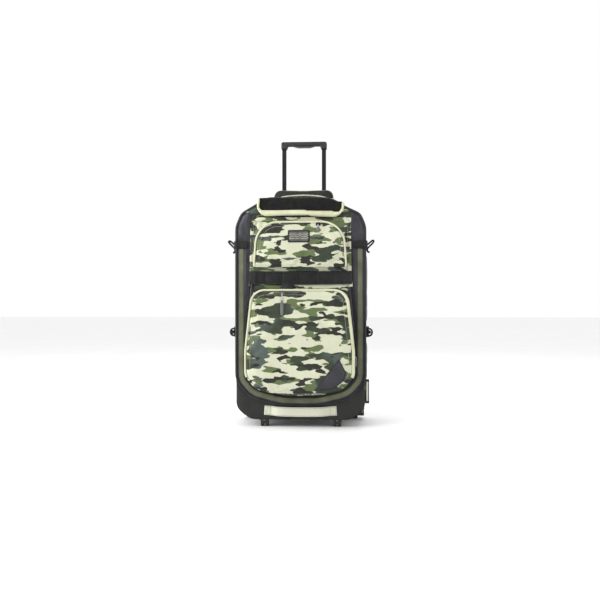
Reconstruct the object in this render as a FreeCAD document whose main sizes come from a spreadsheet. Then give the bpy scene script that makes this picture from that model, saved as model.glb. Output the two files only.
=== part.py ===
"""Rolling duffel bag, standing upright on two wheels and two front feet.

The bag is a padded fabric shell closed by a zipped front lid, with two zipped pockets on the lid,
a two-stage trolley handle behind the frame sheet, compression straps on the sides and webbing
handles on the top and on the base.

Frame: +Z up, +X to the right as seen from the front, the front faces -Y. The origin is on the
floor, in the middle of the footprint. All sizes are in millimetres.
"""
import FreeCAD
import Part
import Sketcher

import math
import os
import types

Vector = FreeCAD.Vector

# ---------------------------------------------------------------- driving dimensions
SIZES = {
    # shell
    "fabric": 4,  # padded wall of the shell
    "shell_half_width": 207,
    "shell_bottom": 25,
    "shell_top": 745,
    "shell_front": -85,
    "shell_back": 150,
    "bottom_corner_x": 160,  # where the flat underside turns up
    "bottom_corner_z": 60,
    "shoulder_z": 645,
    "shoulder_x": 188,
    "shoulder_top_z": 690,
    "crown_x": 110,  # where the flat top turns down to the shoulder
    "boot_height": 130,
    "yoke_height": 615,  # seam between the side panels and the top panel
    "piping_radius": 4,
    "trim_thickness": 1.5,  # zip tape and binding
    # front lid and its zip
    "lid_bottom": 101,
    "lid_top": 672,
    "lid_half_width": 176,
    "lid_gap": 1.5,
    "hinge_half_width": 83,  # the stretch of the lid's lower edge that is not zipped
    "zip_tape": 5,
    "lid_tape": 5,
    # pockets
    "pocket_fabric": 3,
    "pocket_rim": 8,
    "lower_depth": 70,
    "lower_top": 440,
    "lower_bottom": 117,
    "upper_depth": 29,
    "upper_top": 657,
    "upper_bottom": 514,
    "upper_half_width": 147,
    "zip_tape_narrow": 6,
    # vent on the top front
    "vent_half_width": 133,
    "vent_bottom": 693,
    "lip_width": 18,
    "lip_depth": 10,
    "vent_stand": 4.2,  # the vent stands this far in front of the seam's piping
    "strip_inset": 8,  # the olive strip, from the front seam inwards
    "strip_width": 16,
    # front band, handles
    "patch_z": 611,
    "patch_width": 70,
    "patch_height": 40,
    "band_width": 42,
    "band_bottom": 460,
    "band_half_length": 147,
    "top_handle_half_length": 105,
    "top_handle_rise": 27,
    "top_handle_y": 52,
    "top_handle_width": 34,
    "base_handle_half_length": 116,
    "base_handle_bottom": 38,
    "base_handle_width": 30,
    "base_handle_rise": 14,
    "handle_thickness": 4,
    # stiffeners
    "sheet_front": 108,
    "sheet_thickness": 3,
    # trolley handle
    "tube_x": 69,
    "tube_y": 129,
    "tube_wall": 1.2,
    "outer_tube_x": 20,
    "outer_tube_y": 16,
    "mid_tube_x": 17.2,
    "mid_tube_y": 13.2,
    "inner_tube_x": 14.2,
    "inner_tube_y": 10.2,
    "outer_tube_bottom": 50,
    "outer_tube_top": 770,
    "mid_tube_bottom": 384,
    "bezel_top": 786,
    "bezel_half_width": 99,
    "inner_tube_bottom": 694,
    "grip_half_width": 79,
    "grip_bottom": 932,
    "grip_top": 958,
    "grip_depth": 26,
    "button_half_length": 36,
    "button_travel": 4,
    "rod_radius": 2,
    "lock_pin_radius": 2,
    "stowed_drop": 144,  # from the extended lock down to the bezel
    # wheels
    "wheel_radius": 38,
    "wheel_half_width": 12,
    "wheel_x": 174,
    "wheel_y": 127,
    "rim_radius": 30,
    "axle_radius": 4,
    "bearing_radius": 11,
    "running_gap": 0.05,
    "housing_inner": 147,
    "housing_front": 78,
    "housing_top": 100,
    # feet and skids
    "foot_x": 118,
    "foot_y": -50,
    "skid_x": 120,
    "skid_width": 16,
    "skid_depth": 7,
    "skid_bottom": 110,
    "skid_top": 360,
    # straps and buckles
    "strap_width": 25,
    "webbing": 1.6,
    "upper_strap_z": 586,
    "lower_strap_z": 305,
    "buckle_width": 34,
    "buckle_thickness": 12,
}

doc = FreeCAD.newDocument("rolling_duffel_bag")
sheet = doc.addObject("Spreadsheet::Sheet", "Sizes")
for row, (alias, number) in enumerate(SIZES.items(), start=1):
    sheet.set(f"A{row}", alias.replace("_", " "))
    sheet.set(f"B{row}", str(number))
    sheet.setAlias(f"B{row}", alias)
doc.recompute()


class Size:
    """A length that carries its value and the spreadsheet formula it comes from."""

    def __init__(self, formula, value):
        self.formula = formula
        self.value = value

    def __add__(self, other):
        other = as_size(other)
        return Size(f"({self.formula} + {other.formula})", self.value + other.value)

    def __sub__(self, other):
        other = as_size(other)
        return Size(f"({self.formula} - {other.formula})", self.value - other.value)

    def __rsub__(self, other):
        return as_size(other) - self

    def __mul__(self, factor):
        return Size(f"({self.formula} * {factor})", self.value * factor)

    def __truediv__(self, divisor):
        return Size(f"({self.formula} / {divisor})", self.value / divisor)

    def __neg__(self):
        return Size(f"(0 - {self.formula})", -self.value)

    __radd__ = __add__
    __rmul__ = __mul__


def as_size(number):
    return number if isinstance(number, Size) else Size(f"({number})", number)


d = types.SimpleNamespace(
    **{alias: Size(f"Sizes.{alias}", float(sheet.get(alias))) for alias in SIZES}
)
SIDES = {"left": -1, "right": 1}
parts = []


def bind(thing, property_name, size):
    """Ties one property of a document object to its spreadsheet formula."""
    thing.setExpression(property_name, as_size(size).formula)


def keep(thing, label):
    """Marks a finished sub-part for export under its own label."""
    thing.Label = label
    parts.append(thing)
    return thing


def place(thing, x=0, y=0, z=0):
    for axis, size in zip("xyz", (x, y, z)):
        bind(thing, f"Placement.Base.{axis}", size)
    return thing


# ---------------------------------------------------------------- modelling helpers
class Piece:
    """A PartDesign body that grows one feature at a time."""

    AXES = {"XY": (0, 1), "XZ": (0, 2), "YZ": (1, 2)}  # the two coordinates drawn on each plane

    def __init__(self, name):
        self.body = doc.addObject("PartDesign::Body", name)
        self.name = name
        self.steps = 0

    def _feature(self, kind):
        self.steps += 1
        return self.body.newObject(f"PartDesign::{kind}", f"{self.name}_{kind}{self.steps}")

    def _sketch(self, plane, offset, drawings):
        self.steps += 1
        sketch = self.body.newObject("Sketcher::SketchObject", f"{self.name}_sketch{self.steps}")
        origin = next(f for f in self.body.Origin.OriginFeatures if f.Role == f"{plane}_Plane")
        sketch.AttachmentSupport = [(origin, "")]
        sketch.MapMode = "FlatFace"
        bind(sketch, "AttachmentOffset.Base.z", offset)
        for drawing in drawings:
            if isinstance(drawing, Circle):
                draw_circle(sketch, drawing)
            else:
                draw_polygon(sketch, drawing)
        return sketch

    def pad(self, plane, drawings, low, high):
        """Adds material between two heights along the plane's global normal."""
        low, high = as_size(low), as_size(high)
        start = -high if plane == "XZ" else low
        sketch = self._sketch(plane, start, drawings)
        pad = self._feature("Pad")
        pad.Profile = sketch
        bind(pad, "Length", high - low)
        self.body.Tip = pad
        return self

    def pocket(self, plane, drawings, low, high):
        """Removes material between two heights along the plane's global normal."""
        low, high = as_size(low), as_size(high)
        doc.recompute()
        before = self.body.Shape.Volume
        sketch = self._sketch(plane, -low if plane == "XZ" else high, drawings)
        pocket = self._feature("Pocket")
        pocket.Profile = sketch
        bind(pocket, "Length", high - low)
        self.body.Tip = pocket
        doc.recompute()
        if not self.body.Shape.Volume < before - 1e-3:
            raise RuntimeError(f"{pocket.Name} cuts nothing")
        return self

    def revolve(self, drawings, axis="H_Axis"):
        sketch = self._sketch("XY", as_size(0), drawings)
        turned = self._feature("Revolution")
        turned.Profile = sketch
        turned.ReferenceAxis = (sketch, [axis])
        turned.Angle = 360
        self.body.Tip = turned
        return self

    def fillet(self, radius, chosen):
        """Rounds the edges that chosen(edge) accepts."""
        doc.recompute()
        tip = self.body.Tip
        names = [f"Edge{i}" for i, e in enumerate(tip.Shape.Edges, start=1) if chosen(e)]
        if not names:
            raise RuntimeError(f"{self.name} has no such edge to round")
        fillet = self._feature("Fillet")
        fillet.Base = (tip, names)
        bind(fillet, "Radius", radius)
        self.body.Tip = fillet
        return self

    def round_corners(self, plane, outline):
        """Rounds the edges that stand on an outline's corners, each with the corner's radius."""
        first, second = self.AXES[plane]
        radii = {}
        for x, y, radius in outline:
            if radius is not None:
                radii.setdefault(as_size(radius).formula, (radius, []))[1].append((x.value, y.value))
        for radius, corners in radii.values():
            self.fillet(radius, lambda e: stands_on(e, first, second, corners))
        return self

    def hollow(self, thickness, chosen):
        """Leaves a wall of the given thickness, open at the faces that chosen(face) accepts."""
        doc.recompute()
        tip = self.body.Tip
        names = [f"Face{i}" for i, f in enumerate(tip.Shape.Faces, start=1) if chosen(f)]
        wall = self._feature("Thickness")
        wall.Base = (tip, names)
        wall.Reversed = True
        wall.Mode = "Skin"
        wall.Join = "Intersection"
        bind(wall, "Value", thickness)
        self.body.Tip = wall
        return self

    def pattern(self, count):
        """Repeats the last feature round the X axis."""
        last = self.body.Tip
        polar = self._feature("PolarPattern")
        polar.Originals = [last]
        origin = next(f for f in self.body.Origin.OriginFeatures if f.Role == "X_Axis")
        polar.Axis = (origin, [""])
        polar.Angle = 360
        polar.Occurrences = count
        self.body.Tip = polar
        return self


class Circle:
    """A circle to draw, by its centre and radius."""

    def __init__(self, x, y, radius):
        self.x, self.y, self.radius = as_size(x), as_size(y), as_size(radius)


def stands_on(edge, first, second, corners):
    """Whether a straight edge stands square on one of the corners of a plane."""
    if len(edge.Vertexes) != 2:
        return False
    a, b = (vertex.Point for vertex in edge.Vertexes)
    if abs(a[first] - b[first]) > 1e-4 or abs(a[second] - b[second]) > 1e-4:
        return False
    return any(math.hypot(a[first] - x, a[second] - y) < 1e-3 for x, y in corners)


def pin_point(sketch, index, x, y):
    """Ties the first point of a line, or the centre of a circle, to two formulas."""
    point = 3 if isinstance(sketch.Geometry[index], Part.Circle) else 1
    for kind, size in (("DistanceX", x), ("DistanceY", y)):
        number = sketch.addConstraint(
            Sketcher.Constraint(kind, -1, 1, index, point, size.value)
        )
        bind(sketch, f"Constraints[{number}]", size)


def draw_polygon(sketch, points):
    points = [(as_size(p[0]), as_size(p[1])) for p in points]
    corners = [Vector(x.value, y.value, 0) for x, y in points]
    first = sketch.GeometryCount
    count = len(corners)
    for i in range(count):
        sketch.addGeometry(Part.LineSegment(corners[i], corners[(i + 1) % count]))
    for i in range(count):
        following = first + (i + 1) % count
        sketch.addConstraint(Sketcher.Constraint("Coincident", first + i, 2, following, 1))
    for i, (x, y) in enumerate(points):
        pin_point(sketch, first + i, x, y)


def draw_circle(sketch, circle):
    centre = Vector(circle.x.value, circle.y.value, 0)
    index = sketch.addGeometry(Part.Circle(centre, Vector(0, 0, 1), circle.radius.value))
    pin_point(sketch, index, circle.x, circle.y)
    number = sketch.addConstraint(Sketcher.Constraint("Radius", index, circle.radius.value))
    bind(sketch, f"Constraints[{number}]", circle.radius)


def mirrored(half):
    """A closed outline from its right half, listed from the bottom to the top."""
    half = [(as_size(x), as_size(y), radius) for x, y, radius in half]
    return half + [(-x, y, radius) for x, y, radius in reversed(half)]


def outward(start, end):
    """The unit normal on the outer side of an outline's edge, with the outline run anticlockwise."""
    length = math.hypot(end[0] - start[0], end[1] - start[1])
    return (end[1] - start[1]) / length, (start[0] - end[0]) / length


def grown(half, outwards):
    """An outline's right half with every edge moved outwards by the same distance."""
    outwards = as_size(outwards)
    corners = [(x.value, y.value) for x, y, _ in half]
    (first_x, first_y), (last_x, last_y) = corners[0], corners[-1]
    corners = [(-first_x, first_y)] + corners + [(-last_x, last_y)]
    moved = []
    for i, (x, y, radius) in enumerate(half, start=1):
        before = outward(corners[i - 1], corners[i])
        after = outward(corners[i], corners[i + 1])
        spread = 1 + before[0] * after[0] + before[1] * after[1]
        shift_x = outwards * round((before[0] + after[0]) / spread, 9)
        shift_y = outwards * round((before[1] + after[1]) / spread, 9)
        radius = as_size(radius) + outwards
        if radius.value < 2:
            radius = as_size(2)
        moved.append((x + shift_x, y + shift_y, radius))
    return moved


def rectangle(x_low, x_high, y_low, y_high):
    return [(x_low, y_low), (x_high, y_low), (x_high, y_high), (x_low, y_high)]


def centred(x, y, width, height):
    """A rectangle by its centre."""
    return rectangle(x - width / 2, x + width / 2, y - height / 2, y + height / 2)


def slab(name, half, low, high):
    """A plate with a rounded outline in the XZ plane, between two depths."""
    outline = mirrored(half)
    return Piece(name).pad("XZ", [outline], low, high).round_corners("XZ", outline)


def ring(name, outer, inner, low, high, gap=None):
    """A flat ring between two rounded outlines, interrupted where the gap's box crosses it."""
    plate = slab(f"{name}_outer", outer, low, high).body
    opening = slab(f"{name}_inner", inner, low, high).body
    if gap is not None:
        opening = fused(f"{name}_opening", [opening, box(f"{name}_gap", gap[0], (low, high), gap[1])])
    return boolean("Cut", f"{name}_ring", plate, opening)


def box(name, x, y, z):
    """A Part box between three pairs of limits."""
    block = doc.addObject("Part::Box", name)
    for side, (low, high) in zip(("Length", "Width", "Height"), (x, y, z)):
        bind(block, side, as_size(high) - low)
    return place(block, x[0], y[0], z[0])


def boolean(kind, name, base, tool):
    """Part::Cut or Part::Common of two objects."""
    result = doc.addObject(f"Part::{kind}", name)
    result.Base, result.Tool = base, tool
    return result


def fused(name, things):
    result = doc.addObject("Part::MultiFuse", name)
    result.Shapes = things
    return result


def group(name, things):
    """Separate solids that share one node."""
    result = doc.addObject("Part::Compound", name)
    result.Links = things
    return result


def rounded_path(corners, closed):
    """A wire of straight runs joined by tangent arcs, from (point, radius) corners."""
    count = len(corners)
    inner = range(count) if closed else range(1, count - 1)
    starts, arcs = {}, {}
    for i in inner:
        point, radius = corners[i]
        before = (corners[i - 1][0] - point).normalize()
        after = (corners[(i + 1) % count][0] - point).normalize()
        half_turn = (math.pi - before.getAngle(after)) / 2
        reach = radius * math.tan(half_turn)
        towards_centre = (before + after).normalize()
        centre = point + towards_centre * (radius / math.cos(half_turn))
        arcs[i] = (point + before * reach, centre - towards_centre * radius, point + after * reach)
    edges = []
    for i in range(count if closed else count - 1):
        following = (i + 1) % count
        start = arcs[i][2] if i in arcs else corners[i][0]
        end = arcs[following][0] if following in arcs else corners[following][0]
        edges.append(Part.LineSegment(start, end).toShape())
        if following in arcs:
            edges.append(Part.Arc(*arcs[following]).toShape())
    return Part.Wire(edges)


def cord_along(name, outline, depth, radius, closed):
    """A round cord along an outline in the XZ plane, at one depth."""
    corners = [
        (Vector(as_size(x).value, as_size(depth).value, as_size(y).value), as_size(r).value)
        for x, y, r in outline
    ]
    path = rounded_path(corners, closed)
    first = path.Edges[0]
    start = first.valueAt(first.FirstParameter)
    circle = Part.Circle(start, first.tangentAt(first.FirstParameter), as_size(radius).value)
    cord = doc.addObject("Part::Feature", name)
    cord.Shape = path.makePipeShell([Part.Wire(circle.toShape())], True, False)
    place(cord)
    return cord


def along_x(edge):
    return len(edge.Vertexes) == 2 and abs(edge.tangentAt(edge.FirstParameter).x) > 0.999


def along_z(edge):
    return len(edge.Vertexes) == 2 and abs(edge.tangentAt(edge.FirstParameter).z) > 0.999


def faces_y(face):
    return abs(face.normalAt(0, 0).y) > 0.999


# ---------------------------------------------------------------- outlines (right halves, XZ)
# Each corner is x, z and the radius it is rounded with.
SHELL = [
    (d.bottom_corner_x, d.shell_bottom, 50),
    (d.shell_half_width, d.bottom_corner_z, 45),
    (d.shell_half_width, d.shoulder_z, 70),
    (d.shoulder_x, d.shoulder_top_z, 45),
    (d.crown_x, d.shell_top, 60),
]
# The seam that carries the piping: down the sides of the shell and round the front in a U.
FRONT_SEAM_BOTTOM = [
    (as_size(60), as_size(70), 200),
    (as_size(160), as_size(95), 90),
    (d.shell_half_width, as_size(148), 70),
]
LID = [
    (as_size(56), d.lid_bottom, 120),
    (as_size(143), as_size(123), 70),
    (d.lid_half_width, as_size(160), 50),
    (d.lid_half_width, as_size(330), 120),
    (as_size(161), as_size(492), 120),
    (as_size(158), d.lid_top, 30),
]
LOWER_POCKET = [
    (as_size(82), d.lower_bottom, 120),
    (as_size(138), d.lower_bottom + 13, 60),
    (as_size(169), as_size(170), 50),
    (as_size(169), as_size(250), 100),
    (as_size(148), d.lower_top, 45),
]
UPPER_POCKET = [
    (d.upper_half_width, d.upper_bottom, 6),
    (d.upper_half_width - 10, d.upper_top, 72),
]


# ---------------------------------------------------------------- shell
def shell_panels():
    """The fabric walls: one ring of wall, cut at the seams, with a plate at the back and front."""
    ring = slab("shell_ring", SHELL, d.shell_front + d.fabric, d.shell_back - d.fabric)
    ring.hollow(d.fabric, faces_y)
    reach = d.shell_half_width + 20
    depth = (d.shell_front, d.shell_back)
    for side, sign in SIDES.items():
        limits = (-reach, as_size(0)) if sign < 0 else (as_size(0), reach)
        slice_ = box(f"side_slice_{side}", limits, depth, (d.boot_height, d.yoke_height))
        keep(boolean("Common", f"side_{side}", ring.body, slice_), f"side_panel_{side}")

    above = box("top_slice", (-reach, reach), depth, (d.yoke_height, d.shell_top + 20))
    arch = boolean("Common", "top_arch", ring.body, above)
    slots = group("tube_slots", [tube_slot(side, sign) for side, sign in SIDES.items()])
    keep(boolean("Cut", "top", arch, slots), "top_panel")

    below = box("boot_slice", (-reach, reach), depth, (d.shell_bottom - 20, d.boot_height))
    trough = boolean("Common", "boot_trough", ring.body, below)
    front = slab("boot_front", boot_front_outline(), d.shell_front, d.shell_front + d.fabric)
    boot = fused("boot", [trough, front.body])
    corners = [wheel_corner(side, sign) for side, sign in SIDES.items()]
    keep(boolean("Cut", "boot_cut", boot, group("boot_corners", corners)), "base_boot")

    back = slab("back", SHELL, d.shell_back - d.fabric, d.shell_back).body
    corners = [wheel_corner(f"back_{side}", sign) for side, sign in SIDES.items()]
    keep(boolean("Cut", "back_cut", back, group("back_corners", corners)), "back_panel")


def tube_slot(side, sign):
    """The hole in the top panel that a trolley tube passes through."""
    width, depth = d.outer_tube_x + 0.4, d.outer_tube_y + 0.4
    x = (d.tube_x * sign - width / 2, d.tube_x * sign + width / 2)
    y = (d.tube_y - depth / 2, d.tube_y + depth / 2)
    return box(f"tube_slot_{side}", x, y, (d.shell_top - 20, d.shell_top + 20))


def wheel_corner(side, sign):
    """The corner of the shell that a wheel housing takes up."""
    x = (d.housing_inner, d.shell_half_width + 20)
    x = x if sign > 0 else (-x[1], -x[0])
    return box(f"wheel_corner_{side}", x, (d.housing_front, d.shell_back + 20), (0, d.housing_top))


def boot_front_outline():
    """The front of the boot, from the underside up to the front seam."""
    top = [(x, z - 1, radius) for x, z, radius in FRONT_SEAM_BOTTOM]
    return SHELL[:2] + [(d.shell_half_width, top[-1][1], None)] + list(reversed(top[:-1]))


def front_frame():
    """The front wall round the lid, from the front seam up to the top."""
    outline = FRONT_SEAM_BOTTOM + SHELL[2:]
    opening = grown(LID, d.lid_gap)
    frame = ring("front_frame_plate", outline, opening, d.shell_front, d.shell_front + d.fabric)
    keep(frame, "front_frame")
    front = d.shell_front
    tape_front = front - d.trim_thickness
    outer = grown(outline, -d.strip_inset)
    inner = grown(outline, -d.strip_inset - d.strip_width)
    top = ((-250, 250), (662, 800))
    keep(ring("strip", outer, inner, tape_front, front, top), "olive_strip")
    seam = mirrored(outline)
    keep(cord_along("piping_loop", seam, front, d.piping_radius, True), "edge_piping")


def stiffeners():
    """The frame sheet behind the compartment and the board on its floor."""
    half = [
        (as_size(140), as_size(36), 8),
        (as_size(140), as_size(104), None),
        (as_size(184), as_size(104), 12),
        (as_size(184), as_size(640), 60),
        (as_size(120), as_size(730), 60),
    ]
    back = d.sheet_front + d.sheet_thickness
    plate = slab("sheet_plate", half, d.sheet_front, back).body
    floor = d.shell_bottom + d.fabric
    board = Piece("board")
    board.pad("XY", [rectangle(-138, 138, -78, d.sheet_front - 1)], floor, floor + 3)
    keep(group("board_pair", [plate, board.fillet(15, along_z).body]), "stiffener_boards")


def vent():
    """The black vent pouch at the top of the front, in its thick bound lip."""
    back = d.shell_front - d.vent_stand
    top = d.shell_top - 4
    inner = [(d.vent_half_width, d.vent_bottom, 22), (d.vent_half_width, top, None)]
    panel = Piece("vent").pad("XZ", [mirrored(inner)], back - 5, back)
    panel.round_corners("XZ", mirrored(inner))
    panel.pad("XZ", [rectangle(-100, 100, d.vent_bottom + 6, top - 4)], back, d.shell_front)
    keep(panel.body, "vent_panel")
    outer_x, outer_z = d.vent_half_width + d.lip_width, d.vent_bottom - d.lip_width
    outer = [(outer_x, outer_z, 30), (outer_x, top, None)]
    lip = slab("lip_block", outer, back - d.lip_depth, back).body
    inner[1] = (d.vent_half_width, top + 1, None)
    window = slab("lip_window", inner, back - d.lip_depth, back).body
    keep(boolean("Cut", "lip", lip, window), "vent_lip")


# ---------------------------------------------------------------- lid and pockets
def lid():
    """The camouflage lid with its half of the zip; the frame carries the other half."""
    front, back = d.shell_front, d.shell_front + d.fabric
    keep(slab("lid_plate", LID, front, back).body, "lid_panel")
    tape_front = front - d.trim_thickness
    hinge = ((-d.hinge_half_width, d.hinge_half_width), (40, 150))
    inside = grown(LID, -d.lid_tape)
    keep(ring("lid_tape", LID, inside, tape_front, front, hinge), "lid_zip_inner")
    opening = grown(LID, d.lid_gap)
    around = grown(LID, d.lid_gap + d.zip_tape)
    keep(ring("frame_tape", around, opening, tape_front, front), "lid_zip_outer")

    low, length = d.band_bottom, d.band_half_length
    band = Piece("band")
    band.pad("XZ", [rectangle(-length, length, low, low + d.band_width)], front - 1.8, front)
    keep(band.body, "front_band")


def pocket(name, half, depth):
    """A pocket on the lid: its wall with a rim, its flap, and the two halves of its zip."""
    back = d.shell_front
    front = back - depth
    rim_back = front + d.pocket_fabric
    wall = slab(f"{name}_wall_block", half, rim_back, back).hollow(d.pocket_fabric, faces_y)
    flap_outline = grown(half, -d.pocket_rim)
    opening = grown(half, 0.5 - d.pocket_rim)
    rim = ring(f"{name}_rim", half, opening, front, rim_back)
    keep(fused(f"{name}_wall_fused", [wall.body, rim]), f"{name}_pocket_wall")
    keep(slab(f"{name}_flap_plate", flap_outline, front, rim_back).body, f"{name}_flap")

    tape_front = front - d.trim_thickness
    low = as_size(half[0][1]).value
    inside = grown(flap_outline, -d.zip_tape_narrow)
    hinge = half[0][0] - 4
    gap = ((-hinge, hinge), (low - 20, low + 16))
    inner = ring(f"{name}_flap_tape", flap_outline, inside, tape_front, front, gap)
    keep(inner, f"{name}_zip_inner")
    # the rim's tape starts further out, so that the flap's tape can turn down past it
    wide = half[0][0] + 16
    gap = ((-wide, wide), (low - 20, low + 16))
    return ring(f"{name}_rim_tape", grown(half, -3), opening, tape_front, front, gap)


def pockets():
    tapes = [
        pocket("lower", LOWER_POCKET, d.lower_depth),
        pocket("upper", UPPER_POCKET, d.upper_depth),
    ]
    keep(group("rim_tapes", tapes), "pocket_zips_outer")


def patches():
    """A blank woven patch on the upper flap and a plain corner patch on the lower one."""
    front = d.shell_front - d.upper_depth
    low, high = d.patch_z - d.patch_height / 2, d.patch_z + d.patch_height / 2
    half = d.patch_width / 2
    label = Piece("label").pad("XZ", [rectangle(-half - 3, half - 3, low, high)], front - 1, front)
    label.fillet(3, lambda e: abs(e.tangentAt(e.FirstParameter).y) > 0.999)
    keep(label.body, "blank_patch")
    front = d.shell_front - d.lower_depth
    corner = Piece("corner")
    outline = [(48, 133), (106, 138), (138, 162), (144, 180), (122, 224)]
    corner.pad("XZ", [outline], front - 1, front)
    keep(corner.body, "corner_patch")


def pocket_piping():
    """The pale piping round the front edge of each pocket."""
    cords = []
    for name, half, depth in (
        ("lower", [(as_size(169), as_size(200), None)] + LOWER_POCKET[3:], d.lower_depth),
        ("upper", UPPER_POCKET, d.upper_depth),
    ):
        corners = [(as_size(x), as_size(z), r or 0) for x, z, r in half]
        path = corners + [(-x, z, r) for x, z, r in reversed(corners)]
        cords.append(cord_along(f"{name}_cord", path, d.shell_front - depth, 2.5, False))
    keep(group("pocket_cords", cords), "pocket_piping")


def zip_slider(name, x, y, z, pull_length, upright):
    """A zip slider in front of the tape, with the pull tab that hangs from its bridge."""
    slider = Piece(f"{name}_slider_body")
    width, height = (9, 14) if upright else (14, 9)
    slider.pad("XZ", [rectangle(-width / 2, width / 2, -height / 2, height / 2)], -3, 0)
    slider.fillet(1.2, lambda e: abs(e.tangentAt(e.FirstParameter).y) > 0.999)
    slider.pad("XZ", [rectangle(-2.5, -1.2, -3.5, 3.5), rectangle(1.2, 2.5, -3.5, 3.5)], -7, -3)
    slider.pad("XZ", [rectangle(-1.2, 1.2, 1.2, 3.5)], -7, -5)
    keep(place(slider.body, x, y, z), f"{name}_zip_slider")
    # the tab hangs from its own cross bar, which turns between the slider's two cheeks
    pull = Piece(f"{name}_pull_body")
    outline = [(1, 0), (-1, 0), (-1, -4), (-4, -6), (-4, -pull_length), (4, -pull_length), (4, -6), (1, -4)]
    pull.pad("XZ", [outline], -7.6, -5.8)
    pull.fillet(1.5, lambda e: stands_on(e, 0, 2, [(-4, -pull_length), (4, -pull_length)]))
    keep(place(pull.body, x, y, z), f"{name}_zip_pull")


def sliders():
    clear = d.trim_thickness + 0.2
    tape = d.lid_gap / 2
    zip_slider("lid", d.lid_half_width + tape, d.shell_front - clear, as_size(230), 34, True)
    front = d.shell_front - d.lower_depth - clear
    zip_slider("lower", as_size(-53), front, d.lower_top - d.pocket_rim, 72, False)
    front = d.shell_front - d.upper_depth - clear
    zip_slider("upper", as_size(58), front, d.upper_top - d.pocket_rim, 26, False)


# ---------------------------------------------------------------- webbing
def arch(name, plane, half_length, base, rise, thickness, low, high):
    """A strap that stands off its base between two flat sewn ends."""
    end = 26  # sewn length at each end
    slope = 24
    outer = [
        (half_length, base, None),
        (half_length, base + thickness, None),
        (half_length - end, base + thickness, 20),
        (half_length - end - slope, base + rise, 40),
    ]
    inner = [
        (half_length - end + 1, base, None),
        (half_length - end - slope + 2, base + rise - thickness, 40),
    ]
    outline = [(x, y) for x, y, _ in outer]
    outline += [(-x, y) for x, y in reversed(outline)]
    outline += [(-x, y) for x, y, _ in inner]
    outline += [(x, y) for x, y, _ in reversed(inner)]
    return Piece(name).pad(plane, [outline], low, high)


def webbing_handles():
    y, half = d.top_handle_y, d.top_handle_width / 2
    length, rise = d.top_handle_half_length, d.top_handle_rise
    top = arch("grab", "XZ", length, d.shell_top, rise, d.handle_thickness, y - half, y + half)
    keep(top.body, "top_handle")
    # the base handle bows towards -Y, so its arch is drawn with negative sizes
    low = d.base_handle_bottom
    base = arch(
        "haul",
        "XY",
        d.base_handle_half_length,
        d.shell_front,
        -d.base_handle_rise,
        -d.handle_thickness,
        low,
        low + d.base_handle_width,
    )
    keep(base.body, "base_handle")


def straps():
    """Compression straps round both sides: front and rear webbing, adjusters and buckles."""
    side = d.shell_half_width
    over = side + d.webbing
    front = d.shell_front
    upper, lower, adjusters, sockets = [], [], [], []
    for name, sign in SIDES.items():
        low = d.upper_strap_z - d.strap_width / 2
        high = d.upper_strap_z + d.strap_width / 2
        hump = d.piping_radius + 1
        lift = d.trim_thickness + 0.5  # over the olive strip
        outline = [
            (as_size(169), front - lift - d.webbing),
            (side - 9, front - lift - d.webbing),
            (side - 5, front - hump - d.webbing),
            (side + hump, front - hump - d.webbing),
            (side + hump + d.webbing, front - hump),
            (side + hump + d.webbing, front + 5),
            (over, front + 9),
            (over, as_size(-34)),
            (side, as_size(-34)),
            (side, front + 8),
            (side + hump, front + 4),
            (side + hump, front - hump),
            (side - 4, front - hump),
            (side - 8, front - lift),
            (as_size(181), front - lift),
            (as_size(181), front),
            (as_size(169), front),
        ]
        outline = [(x * sign, y) for x, y in outline]
        upper.append(Piece(f"upper_front_{name}").pad("XY", [outline], low, high).body)
        rear = rectangle(side * sign, over * sign, -22, d.shell_back)
        upper.append(Piece(f"upper_rear_{name}").pad("XY", [rear], low, high).body)
        # the free end stands out of the adjuster's slot
        out = [(over + 0.4, -37), (over + 29, -52), (over + 29.8, -50.6), (over + 1.2, -35.6)]
        out = [(x * sign, y) for x, y in out]
        upper.append(Piece(f"tail_{name}").pad("XY", [out], low, high).body)

        low = d.lower_strap_z - d.strap_width / 2
        high = d.lower_strap_z + d.strap_width / 2
        ahead = rectangle(side * sign, over * sign, front + 6, -30)
        lower.append(Piece(f"lower_front_{name}").pad("XY", [ahead], low, high).body)
        behind = rectangle(side * sign, over * sign, 18, d.shell_back)
        lower.append(Piece(f"lower_rear_{name}").pad("XY", [behind], low, high).body)

        adjusters.append(adjuster(name, sign))
        sockets.append(buckle_socket(name, sign))
        keep(buckle_plug(name, sign), f"buckle_plug_{name}")
    keep(group("webbing_set", upper + lower), "side_straps")
    keep(group("ladder_locks", adjusters), "strap_adjusters")
    keep(group("buckle_females", sockets), "buckle_sockets")


def on_side(sign, low, high):
    """A pair of x limits measured outwards from the webbing on one side."""
    start = d.shell_half_width + d.webbing
    low, high = start + low, start + high
    return (low, high) if sign > 0 else (-high, -low)


def adjuster(name, sign):
    """A ladder lock: a frame with two slots for the webbing."""
    z, half = d.upper_strap_z, d.buckle_width / 2
    x = on_side(sign, 0.2, 5.2)
    lock = Piece(f"adjuster_{name}")
    lock.pad("YZ", [rectangle(-46, -16, z - half, z + half)], *x)
    lock.fillet(4, along_x)
    slot = d.strap_width / 2 + 0.5
    for y in (-41, -27):
        lock.pocket("YZ", [rectangle(y, y + 6, z - slot, z + slot)], *x)
    return lock.body


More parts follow.
